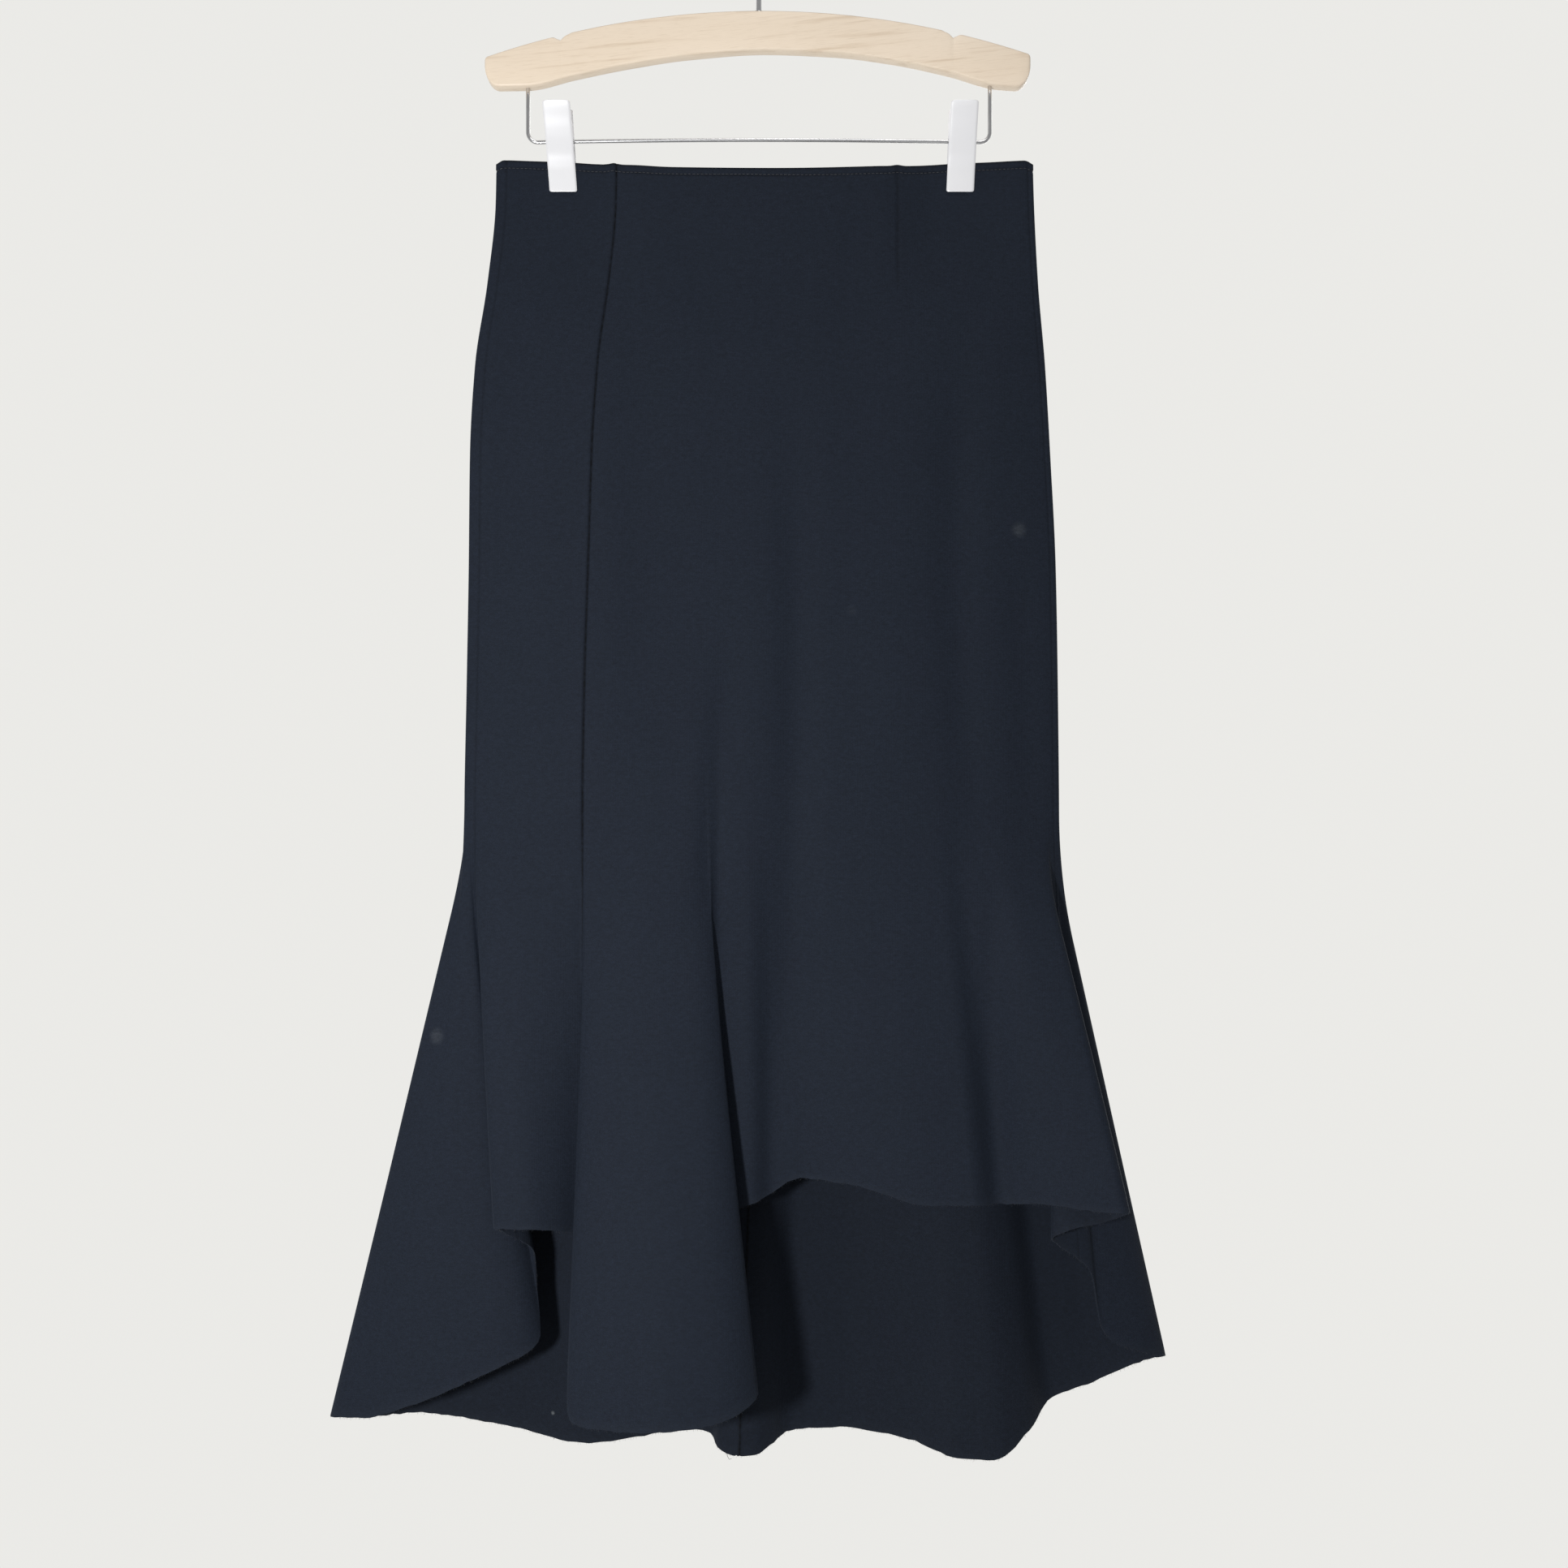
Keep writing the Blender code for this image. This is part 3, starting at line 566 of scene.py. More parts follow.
# The pale colour of the raw hem edge, partly a painted highlight of the cut edge.
PALE_EDGE_AND_HIGHLIGHT = (0.026, 0.032, 0.042)
SHADED_LINE = (0.0012, 0.0018, 0.0032)
LINT = (0.10, 0.11, 0.12)
KNIT_SHEEN = (0.36, 0.46, 0.66, 1.0)
KNIT_STRETCH = (0.5, 1.0, 1.0)

SMUDGES = (
    # x, y, z, radius, strength of the pale marks on the cloth
    (-210.5, -8.0, -745.0, 8.0, 0.55),
    (168.8, -9.0, -417.0, 7.0, 0.45),
    (60.0, -17.0, -470.0, 5.0, 0.10),
    (-40.0, -40.0, -800.0, 6.0, 0.10),
    (-136.6, 16.8, -997.9, 1.8, 2.0),
)


def bands(tree, where, direction, pitch, distortion, detail, detail_scale):
    made = add_node(tree, "ShaderNodeTexWave", wave_type="BANDS", bands_direction=direction)
    set_inputs(made, {"Scale": WAVES_PER_METRE / pitch, "Distortion": distortion})
    set_inputs(made, {"Detail": detail, "Detail Scale": detail_scale})
    link(tree, where, made.inputs["Vector"])
    return made.outputs["Fac"]


def smudged(tree, where, colour, mottle):
    """The colour with the pale marks of the table on it."""
    for x, y, z, radius, strength in SMUDGES:
        apart = add_node(tree, "ShaderNodeVectorMath", operation="DISTANCE")
        link(tree, where, apart.inputs[0])
        apart.inputs[1].default_value = (x * MM, y * MM, z * MM)
        near = ramp(tree, apart.outputs["Value"], 0.0, radius * MM, strength, 0.0)
        colour = mix_colour(tree, combined(tree, "MULTIPLY", near, mottle), colour, LINT)
    return colour


def knit_material():
    """Near-black navy double knit: fine loops, dark lines where it is sewn, a slightly paler raw hem that is
    partly a painted highlight, and painted shade on the inner layer.
    """
    made, tree, shader = new_material("navy_knit", 0.82)
    where = object_space(tree)
    broad = noise(tree, where, 9.0, 3.0)
    mottle = noise(tree, stretched(tree, where, KNIT_STRETCH), 560.0, 3.0, 0.7)
    speck = noise(tree, where, 1300.0, 2.0, 0.6)
    colour = mix_colour(tree, broad, KNIT_DEEP, KNIT_PALE)
    colour = mix_colour(tree, 0.55, colour, grey(tree, scaled(tree, speck, 2.0, 0.0)), "MULTIPLY")
    colour = mix_colour(tree, 0.8, colour, grey(tree, scaled(tree, mottle, 1.0, 0.5)), "MULTIPLY")
    # The hem's pale line: a paler raw edge together with a painted highlight.
    pale_and_highlight_attribute = add_node(tree, "ShaderNodeAttribute", attribute_name="edge_pale_and_highlight")
    colour = mix_colour(tree, pale_and_highlight_attribute.outputs["Fac"], colour, PALE_EDGE_AND_HIGHLIGHT)
    # The shade attribute darkens the seams, the dart, the waist edge and the stitching, and adds painted
    # shade over the whole inner layer.
    line = add_node(tree, "ShaderNodeAttribute", attribute_name="shade")
    broken = scaled(tree, noise(tree, where, 420.0, 1.0), 1.6, 0.1)
    cover = combined(tree, "MULTIPLY", line.outputs["Fac"], broken, clamp=True)
    colour = mix_colour(tree, cover, colour, SHADED_LINE)
    link(tree, smudged(tree, where, colour, mottle), shader.inputs["Base Color"])
    wales = bands(tree, where, "X", WALE_MM, 0.6, 1.0, 2.0)
    courses = bands(tree, where, "Z", COURSE_MM, 0.8, 2.0, 1.0)
    loops = combined(tree, "MULTIPLY", wales, courses)
    height = combined(tree, "ADD", loops, combined(tree, "MULTIPLY", speck, 1.2))
    pucker = noise(tree, stretched(tree, where, KNIT_STRETCH), 60.0, 2.0)
    surface = relief(tree, pucker, 0.25, 0.0012, below=relief(tree, height, 0.45, 0.00016))
    link(tree, surface, shader.inputs["Normal"])
    link(tree, scaled(tree, speck, 0.16, 0.74), shader.inputs["Roughness"])
    set_inputs(shader, {"Sheen Weight": 0.05, "Sheen Roughness": 0.5, "Sheen Tint": KNIT_SHEEN})
    set_inputs(shader, {"Specular IOR Level": 0.15})
    return made


def thread_material():
    made, tree, shader = new_material("navy_thread", 0.6)
    twist = noise(tree, object_space(tree), 2600.0, 1.0)
    colour = mix_colour(tree, twist, (0.004, 0.006, 0.010), (0.018, 0.022, 0.034))
    link(tree, colour, shader.inputs["Base Color"])
    set_inputs(shader, {"Sheen Weight": 0.2})
    return made


def wood_material():
    """Pale birch, its grain along the arm, with a few darker streaks and a satin lacquer."""
    made, tree, shader = new_material("pale_birch", 0.46)
    lean = add_node(tree, "ShaderNodeMapping")
    lean.inputs["Rotation"].default_value = (0.0, math.radians(6.0), 0.0)
    link(tree, object_space(tree), lean.inputs["Vector"])
    along = lean.outputs["Vector"]
    grain = noise(tree, stretched(tree, along, (1.0, 16.0, 22.0)), 14.0, 5.0, 0.6)
    pores = noise(tree, stretched(tree, along, (1.0, 22.0, 30.0)), 90.0, 2.0, 0.6)
    broad = noise(tree, stretched(tree, along, (1.0, 5.0, 7.0)), 6.0, 2.0)
    colour = mix_colour(tree, broad, (0.745, 0.620, 0.480), (0.825, 0.705, 0.570))
    streak = ramp(tree, grain, 0.50, 0.74, 0.0, 0.42)
    colour = mix_colour(tree, streak, colour, (0.480, 0.340, 0.210))
    fleck = ramp(tree, pores, 0.52, 0.80, 0.0, 0.34)
    colour = mix_colour(tree, fleck, colour, (0.44, 0.32, 0.20))
    link(tree, colour, shader.inputs["Base Color"])
    surface = relief(tree, combined(tree, "ADD", grain, pores), 0.18, 0.0003)
    link(tree, surface, shader.inputs["Normal"])
    set_inputs(shader, {"Coat Weight": 0.15, "Coat Roughness": 0.3})
    return made


def metal_material(name, light, dark, roughness, brushed, metallic=1.0):
    """Bright metal with fine drawn lines. brushed is the stretch of the lines, per axis."""
    made, tree, shader = new_material(name, roughness, metallic)
    where = object_space(tree)
    lines = noise(tree, stretched(tree, where, brushed), 900.0, 2.0)
    stain = noise(tree, where, 60.0, 3.0)
    link(tree, mix_colour(tree, stain, dark, light), shader.inputs["Base Color"])
    # The noise is about a half on average, so the roughness stays about as given.
    link(tree, scaled(tree, lines, 0.12, roughness - 0.06), shader.inputs["Roughness"])
    link(tree, relief(tree, lines, 0.06, 0.0001), shader.inputs["Normal"])
    return made


WIRE_LIGHT, WIRE_DARK = (0.74, 0.74, 0.75), (0.60, 0.60, 0.61)
PLATE_LIGHT, PLATE_DARK = (0.96, 0.96, 0.98), (0.93, 0.93, 0.95)
SPRING_LIGHT, SPRING_DARK = (0.55, 0.55, 0.56), (0.40, 0.40, 0.41)

knit = knit_material()
thread = thread_material()
birch = wood_material()
wire_metal = metal_material("drawn_wire", WIRE_LIGHT, WIRE_DARK, 0.24, (1.0, 8.0, 8.0))
clip_metal = metal_material("satin_plate", PLATE_LIGHT, PLATE_DARK, 0.36, (8.0, 8.0, 0.3), 0.35)
spring_metal = metal_material("spring_steel", SPRING_LIGHT, SPRING_DARK, 0.30, (1.0, 1.0, 1.0))

# ---------------------------------------------------------------- making pieces

pieces = bpy.data.collections.new("pieces")
bpy.context.scene.collection.children.link(pieces)


def add_piece(name, mesh, finish, replaces=()):
    """A piece that rides on the one body, takes a material and stands for the named nodes."""
    piece = bpy.data.objects.new(name, mesh)
    pieces.objects.link(piece)
    mesh.materials.append(finish)
    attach(piece, "root")
    if replaces:
        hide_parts(*replaces)
    return piece


def mesh_of(name, vertices, faces, smooth=True):
    mesh = bpy.data.meshes.new(name)
    mesh.from_pydata([tuple(v) for v in vertices], [], [tuple(f) for f in faces])
    if smooth:
        mesh.shade_smooth()
    mesh.update()
    return mesh


def sweep(route, radii, sides):
    """Vertices and faces of a round closed tube along the route. radii is one number or one per point."""
    route = [Vector(p) for p in route]
    radii = [radii] * len(route) if isinstance(radii, float) else radii
    vertices, faces = [], []
    normal = None
    for i, place in enumerate(route):
        ahead = route[min(i + 1, len(route) - 1)] - route[max(i - 1, 0)]
        ahead.normalize()
        if normal is None:
            normal = ahead.orthogonal().normalized()
        normal = (normal - ahead * normal.dot(ahead)).normalized()
        side = ahead.cross(normal)
        for k in range(sides):
            angle = 2 * math.pi * k / sides
            offset = normal * math.cos(angle) + side * math.sin(angle)
            vertices.append(place + offset * radii[i])
    for i in range(len(route) - 1):
        for k in range(sides):
            j = (k + 1) % sides
            a, b = i * sides, (i + 1) * sides
            faces.append((a + k, a + j, b + j, b + k))
    last = (len(route) - 1) * sides
    faces.append(tuple(range(sides))[::-1])
    faces.append(tuple(range(last, last + sides)))
    return vertices, faces


def swept_mm(route, radii, sides):
    """The same from a route and radii in millimetres."""
    radii = [r * MM for r in radii] if isinstance(radii, (list, tuple)) else radii * MM
    return sweep([Vector(p) * MM for p in route], radii, sides)


def joined(parts):
    """One list of vertices and faces from several."""
    vertices, faces = [], []
    for part_vertices, part_faces in parts:
        base = len(vertices)
        vertices += part_vertices
        faces += [tuple(base + i for i in face) for face in part_faces]
    return vertices, faces


def turned_if(turned, face):
    return face[::-1] if turned else face


# ---------------------------------------------------------------- the skirt

points, index_of, drop = cloth_points()
around, outward = ring_frames(points)


def ring_distance(column):
    """How far each point lies from the column's line, along its own row."""
    steps = np.linalg.norm(np.roll(points, -1, axis=0) - points, axis=2)
    passed = np.cumsum(np.roll(steps, -column, axis=0), axis=0)
    ahead = np.concatenate([np.zeros((1, steps.shape[1])), passed])
    distance = np.minimum(ahead[:-1], ahead[-1] - ahead[:-1])
    return np.roll(distance, column, axis=0)


def along_seams(reach):
    """A soft hill along every seam, as strong as its seam."""
    return sum(strength * bump(seam_gaps[name] / reach) for name, strength in SEAM_STRENGTH.items())


seam_gaps = {name: ring_distance(index_of[name]) for name in SEAM_STRENGTH}
dart_share = fade((points[:, :, 2] - DART_Z[0]) / DART_START)
dart_share = dart_share * fade((DART_Z[1] + DART_FADE - points[:, :, 2]) / DART_FADE)
on_front = points[:, :, 1] <= 0
dart_hill = bump((points[:, :, 0] - DART_X) / DART_REACH) * dart_share * on_front
hem_gap = drop[:, -1:] - drop

sunk = SEAM_DEEP * along_seams(SEAM_REACH) + DART_DEEP * dart_hill
sunk += STITCH_GROOVE * bump((drop - STITCH_DROP) / STITCH_REACH)
rim_rise = RIM_RISE * fade((drop - RIM_END) / RIM_FADE)
outer = points + outward * (CLOTH / 2 + rim_rise - sunk)[:, :, None]
fold_back = FOLD_THICK * fade((drop - WAIST_FOLD + FOLD_START) / FOLD_FADE)
inner = points - outward * (CLOTH / 2 + fold_back + INNER_SHARE * sunk)[:, :, None]
ragged = np.array([random.Random(i).uniform(-RAGGED, RAGGED) for i in range(len(points))])
for layer in (outer, inner):
    layer[:, -1, 2] += ragged
# A paler raw hem edge, partly a painted highlight where the cut edge catches the light.
edge_pale_and_highlight = HEM_PALE_AND_HIGHLIGHT * bump(hem_gap / HEM_PALE_AND_HIGHLIGHT_REACH)
# The dark lines of the seams, the dart, the turned waist edge and its stitching.
shade = SEAM_SHADE * along_seams(SEAM_LINE) + DART_SHADE * dart_hill
shade += WAIST_SHADE * bump(drop / WAIST_SHADE_REACH)
shade += STITCH_SHADE * bump((drop - STITCH_DROP) / STITCH_SHADE_REACH)


def wall_faces(columns, rows):
    """Faces of the closed wall: the outer grid, the inner grid, then one lip point per column."""
    size, base = columns * rows, 2 * columns * rows
    faces = []
    for c in range(columns - 1):
        for r in range(rows - 1):
            a, b = c * rows + r, (c + 1) * rows + r
            faces.append((a, a + 1, b + 1, b))
            faces.append((size + a, size + b, size + b + 1, size + a + 1))
        a, b = c * rows, (c + 1) * rows
        faces.append((a, b, base + c + 1, base + c))
        faces.append((base + c, base + c + 1, size + b, size + a))
        a, b = a + rows - 1, b + rows - 1
        faces.append((a, size + a, size + b, b))
    for c, turned in ((0, False), (columns - 1, True)):
        for r in range(rows - 1):
            a = c * rows + r
            faces.append(turned_if(turned, (a, size + a, size + a + 1, a + 1)))
        faces.append(turned_if(turned, (c * rows, base + c, size + c * rows)))
    return faces


def flat_size(middle):
    """Width, length and area of a panel's middle surface, in metres."""
    sides = np.linalg.norm(np.diff(middle, axis=0), axis=2)
    heights = np.linalg.norm(np.diff(middle, axis=1), axis=2)
    crossed = np.cross(middle[1:, 1:] - middle[:-1, :-1], middle[1:, :-1] - middle[:-1, 1:])
    area = float(np.sum(np.linalg.norm(crossed, axis=2))) / 2.0 * MM * MM
    width = float(np.max(sides.sum(axis=0))) * MM
    length = float(np.max(heights.sum(axis=1))) * MM
    return width, length, area


def panel_piece(name, node, first, last):
    """A closed thin wall of knit from one seam to the next, with its flat size."""
    start, end = index_of[first], index_of[last]
    end += len(points) if end <= start else 0
    span = [i % len(points) for i in range(start, end + 1)]
    layers = [outer[span].copy(), inner[span].copy()]
    for layer in layers:
        layer[0] += around[span[0]] * SEAM_SHIFT
        layer[-1] -= around[span[-1]] * SEAM_SHIFT
    vertices = [tuple(p * MM) for layer in layers for column in layer for p in column]
    # A rounded lip along the folded waist edge.
    lip = (layers[0][:, 0] + layers[1][:, 0]) / 2
    lip[:, 2] += LIP_RISE
    vertices += [tuple(p * MM) for p in lip]
    mesh = mesh_of(name, vertices, wall_faces(len(span), points.shape[1]))
    # The inner layer gets extra painted shade, its colour darkened for the shadow inside the skirt.
    for label, values, added in (("edge_pale_and_highlight", edge_pale_and_highlight, 0.0), ("shade", shade, INNER_PAINTED_SHADE)):
        right_side = values[span]
        spread = np.concatenate([right_side.ravel(), (right_side + added).ravel(), right_side[:, 0]])
        mesh.attributes.new(label, "FLOAT", "POINT").data.foreach_set("value", spread.astype(np.float32))
    mesh.set_sharp_from_angle(angle=CORNER_ANGLE)
    piece = add_piece(name, mesh, knit, (node,))
    return piece, flat_size(points[span])


STITCH_PITCH = 2.7
STITCH_LENGTH = 2.0
STITCH_STAND = 0.16
STITCH_RISE = 0.14
# Share of the stitch's length, radius there.
STITCH_SHAPE = ((0.0, 0.05), (0.12, 0.17), (0.5, 0.2), (0.88, 0.17), (1.0, 0.05))


def stitches():
    """The topstitching under the waist edge: small rounded stitches in a shallow groove."""
    row = int(np.argmin(np.abs(drop[0] - STITCH_DROP)))
    line = outer[:, row] + outward[:, row] * STITCH_STAND
    line = np.concatenate([line, line[:1]])
    normals = np.concatenate([outward[:, row], outward[:1, row]])
    lengths = np.concatenate([[0.0], np.cumsum(np.linalg.norm(np.diff(line, axis=0), axis=1))])
    made = []
    for i in range(int(lengths[-1] / STITCH_PITCH)):
        route = []
        for share, _ in STITCH_SHAPE:
            at = i * STITCH_PITCH + share * STITCH_LENGTH
            place = [float(np.interp(at, lengths, line[:, k])) for k in range(3)]
            lift = [float(np.interp(at, lengths, normals[:, k])) for k in range(3)]
            rise = STITCH_RISE * math.sin(math.pi * share)
            route.append([p + q * rise for p, q in zip(place, lift)])
        made.append(swept_mm(route, [radius for _, radius in STITCH_SHAPE], 6))
    mesh = mesh_of("waist_stitches", *joined(made))
    return add_piece("waist_stitches", mesh, thread)


FIBRE_SEED = 11
FIBRE_SPACING = 1.1
FIBRE_SPREAD = 0.45
FIBRE_ROOT = 0.3
FIBRE_RADII = (0.055, 0.045, 0.02)


def fibres():
    """Short cut fibre ends that stand out of the raw hem."""
    draw = random.Random(FIBRE_SEED)
    made = []
    hem = points[:, -1]
    for i in range(len(hem)):
        following = hem[(i + 1) % len(hem)]
        count = max(1, int(np.linalg.norm(following - hem[i]) / FIBRE_SPACING))
        down = points[i, -1] - points[i, -3]
        down = down / np.linalg.norm(down)
        for _ in range(count):
            share = draw.random()
            off = outward[i, -1] * draw.uniform(-FIBRE_SPREAD, FIBRE_SPREAD)
            start = hem[i] + (following - hem[i]) * share + off
            lean = np.array([draw.uniform(-0.7, 0.7), draw.uniform(-0.6, 0.6), draw.uniform(-0.2, 0.2)])
            length = draw.uniform(0.5, 1.7)
            bend = np.array([draw.uniform(-0.4, 0.4), draw.uniform(-0.4, 0.4), 0.0])
            tip = start + (down + lean) * length
            route = [start - down * FIBRE_ROOT, (start + tip) / 2 + bend * 0.5, tip + bend]
            made.append(swept_mm(route, FIBRE_RADII, 3))
    mesh = mesh_of("hem_fibres", *joined(made))
    return add_piece("hem_fibres", mesh, thread)


THREAD_RADIUS = 0.14
# From the tab's hem point.
THREAD_ROUTE = ((0, 0, 1.5), (0.3, -0.4, -1.5), (1.6, -0.8, -3.6), (3.0, -0.6, -3.2))


def loose_thread():
    """The thread end at the centre back's tab."""
    tab = points[index_of["tab_left_1"], -1]
    mesh = mesh_of("loose_thread", *swept_mm([tab + np.array(p) for p in THREAD_ROUTE], THREAD_RADIUS, 5))
    return add_piece("loose_thread", mesh, thread)


panel_rows = {panel[0]: panel_piece(*panel) for panel in PANELS}
trimmings = [stitches(), fibres(), loose_thread()]

# ---------------------------------------------------------------- the hanger

WOOD_THICK = 10.0
WOOD_TOP_Z = -79.4
WOOD_TOP_RADIUS = 550.0
WOOD_TOP_SLOPE = 0.004
WOOD_LOW_EDGE = (
    # x, z of the lower edge
    (-169.0, -128.6),
    (-150.0, -128.2),
    (-120.0, -121.4),
    (-85.0, -114.2),
    (-45.0, -108.2),
    (4.0, -104.8),
    (50.0, -106.6),
    (90.0, -111.8),
    (125.0, -119.4),
    (155.0, -127.6),
    (168.0, -128.6),
)
WOOD_ENDS = (-178.0, 176.5)
WOOD_STEPS = 220
WOOD_END_STEPS = (0.15, 0.4, 0.9, 2.2, 3.0, 4.2)
WOOD_END_REACH = 9.0
WOOD_END_LIFT = 14.0
WOOD_TOP_CORNER = 2.0
WOOD_EDGE = 1.3
WOOD_EDGE_POINTS = 4
NOTCHES = (-129.6, 127.0)
NOTCH_DEPTH = 2.6
NOTCH_HALF_WIDTH = 2.7
NOTCH_STEP = 0.6
NOTCH_STEPS = 14
SHELF_LENGTH = 8.0
SHELF_DROP = 0.9
HOOK_WIRE = 3.6
HOOK_RADIUS = 21.0
HOOK_ROOT = 13.0
HOOK_STEM_Z = -58.0
HOOK_SWEEP_Z = -52.0
HOOK_SWEEP_STEPS = 16
HOOK_ARC = 200.0
HOOK_ARC_STEPS = 60
HOOK_TIP = 0.55
# Height over the wood's top, radius.
HOOK_COLLAR = ((-1.0, 3.4), (0.9, 3.2), (1.3, 2.2))
BAR_WIRE = 2.6
BAR_X = (-150.5, 150.5)
BAR_Z = -163.4
BAR_RISE = 1.6
BAR_CORNER = 6.5
BAR_LEG_Z = (-120.0, -135.0)
BAR_CORNER_STEPS = 10
BAR_INSET = 12
BAR_POINTS = 40
CLIP_TILT = (4.1, -2.6)
JAW_WIDTH = 18.0
JAW_TOP = -139.0
JAW_LOW = -196.4
JAW_SHEET = 0.9
JAW_CORNER = 1.4
JAW_LEVELS = 44
JAW_RIM_LEVELS = (0.3, 0.8)
JAW_MARKS = (-1.0, -0.985, -0.95, -0.89, -0.8, -0.6, -0.3, 0.0, 0.3, 0.6, 0.8, 0.89, 0.95, 0.985, 1.0)
JAW_TURN = 0.9
JAW_TURN_FROM = 0.86
JAW_TURN_SHARES = (0.2, 0.75)
JAW_CROWN = 0.25
SPRING_TURNS = 5
SPRING_STEPS = 16
SPRING_HALF_LENGTH = 4.6
SPRING_CLEAR = 0.95
SPRING_WIRE = 0.42
# From the coil's first point, in y and z.
SPRING_LEG = ((0.7, 8.0), (0.2, 2.0))


def wood_section(x):
    """Top and bottom of the arm at x."""
    top = WOOD_TOP_Z + WOOD_TOP_SLOPE * x - (WOOD_TOP_RADIUS - math.sqrt(WOOD_TOP_RADIUS**2 - x * x))
    low = float(smooth_reading(*zip(*WOOD_LOW_EDGE), np.array([x]))[0])
    for notch, inward in zip(NOTCHES, (1, -1)):
        # A round notch with a small lower shelf on its inner side.
        top -= NOTCH_DEPTH * float(bump((x - notch) / NOTCH_HALF_WIDTH))
        along = (x - notch) * inward / SHELF_LENGTH
        if 0.0 < along < 1.0:
            top -= SHELF_DROP * (1.0 - along**4)
    from_end = min(x - WOOD_ENDS[0], WOOD_ENDS[1] - x)
    low += WOOD_END_LIFT * rounded(from_end, WOOD_END_REACH)
    top -= WOOD_TOP_CORNER * rounded(from_end, WOOD_TOP_CORNER)
    return top, low


def build_wood():
    """The plank as rounded cross sections from end to end."""
    length = WOOD_ENDS[1] - WOOD_ENDS[0]
    xs = [WOOD_ENDS[0] + length * i / WOOD_STEPS for i in range(WOOD_STEPS + 1)]
    for end, sign in zip(WOOD_ENDS, (1, -1)):
        xs += [end + sign * d for d in WOOD_END_STEPS]
    for notch in NOTCHES:
        xs += [notch + NOTCH_STEP * k for k in range(-NOTCH_STEPS, NOTCH_STEPS + 1)]
    xs = sorted(set(round(x, 3) for x in xs))
    vertices, faces = [], []
    per = 4 * WOOD_EDGE_POINTS
    for x in xs:
        top, low = wood_section(x)
        from_end = min(x - WOOD_ENDS[0], WOOD_ENDS[1] - x)
        h = WOOD_THICK / 2 - WOOD_EDGE * rounded(from_end, WOOD_EDGE)
        for cy, cz, start in ((h, top, 0), (-h, top, 90), (-h, low, 180), (h, low, 270)):
            sy, sz = (-1 if cy > 0 else 1), (-1 if cz == top else 1)
            for k in range(WOOD_EDGE_POINTS):
                angle = math.radians(start + 90 * k / (WOOD_EDGE_POINTS - 1))
                y = cy + sy * WOOD_EDGE + WOOD_EDGE * math.cos(angle)
                z = cz + sz * WOOD_EDGE + WOOD_EDGE * math.sin(angle)
                vertices.append((x * MM, y * MM, z * MM))
    for i in range(len(xs) - 1):
        for k in range(per):
            j = (k + 1) % per
            a, b = i * per, (i + 1) * per
            faces.append((a + k, b + k, b + j, a + j))
    faces.append(tuple(range(per)))
    faces.append(tuple(range((len(xs) - 1) * per, len(xs) * per))[::-1])
    mesh = mesh_of("arm", vertices, faces)
    mesh.set_sharp_from_angle(angle=CORNER_ANGLE)
    add_piece("arm", mesh, birch, ("hanger_wood",))


def build_hook():
    """The stem, its sweep to the right, the round hook over the mount, and a small collar on the wood."""
    centre_z = HOOK_WIRE / 2 - HOOK_RADIUS
    route = [(0.0, 0.0, WOOD_TOP_Z - HOOK_ROOT), (0.0, 0.0, WOOD_TOP_Z), (0.0, 0.0, HOOK_STEM_Z)]
    for i in range(1, HOOK_SWEEP_STEPS):
        share = i / HOOK_SWEEP_STEPS
        across = 3 * share**2 - 2 * share**3
        route.append((HOOK_RADIUS * across, 0.0, HOOK_SWEEP_Z + share * (centre_z - HOOK_SWEEP_Z)))
    for i in range(HOOK_ARC_STEPS + 1):
        angle = math.radians(HOOK_ARC * i / HOOK_ARC_STEPS)
        route.append((HOOK_RADIUS * math.cos(angle), 0.0, centre_z + HOOK_RADIUS * math.sin(angle)))
    radii = [HOOK_WIRE / 2] * len(route)
    radii[-1] *= HOOK_TIP
    wire = swept_mm(route, radii, 20)
    collar_route = [(0.0, 0.0, WOOD_TOP_Z + rise) for rise, _ in HOOK_COLLAR]
    collar = swept_mm(collar_route, [radius for _, radius in HOOK_COLLAR], 24)
    mesh = mesh_of("hook_wire", *joined([wire, collar]))
    add_piece("hook_wire", mesh, wire_metal, ("hook",))


def bar_height(x):
    share = (x - BAR_X[0]) / (BAR_X[1] - BAR_X[0])
    return BAR_Z + BAR_RISE * math.sin(math.pi * min(max(share, 0.0), 1.0))


def bar_leg(x, side):
    """From the wood down and round the corner, side being the way in."""
    leg = [(x, 0.0, z) for z in (*BAR_LEG_Z, BAR_Z + BAR_CORNER)]
    for i in range(1, BAR_CORNER_STEPS + 1):
        angle = math.radians(90.0 * i / BAR_CORNER_STEPS)
        across = x + side * BAR_CORNER * (1 - math.cos(angle))
        leg.append((across, 0.0, BAR_Z + BAR_CORNER * (1 - math.sin(angle))))
    return leg


def build_bar():
    middle_x = np.linspace(BAR_X[0] + BAR_INSET, BAR_X[1] - BAR_INSET, BAR_POINTS)
    middle = [(x, 0.0, bar_height(x)) for x in middle_x]
    whole = bar_leg(BAR_X[0], 1) + middle + bar_leg(BAR_X[1], -1)[::-1]
    mesh = mesh_of("bar_wire", *swept_mm(whole, BAR_WIRE / 2, 16))
    add_piece("bar_wire", mesh, wire_metal, ("trouser_bar",))


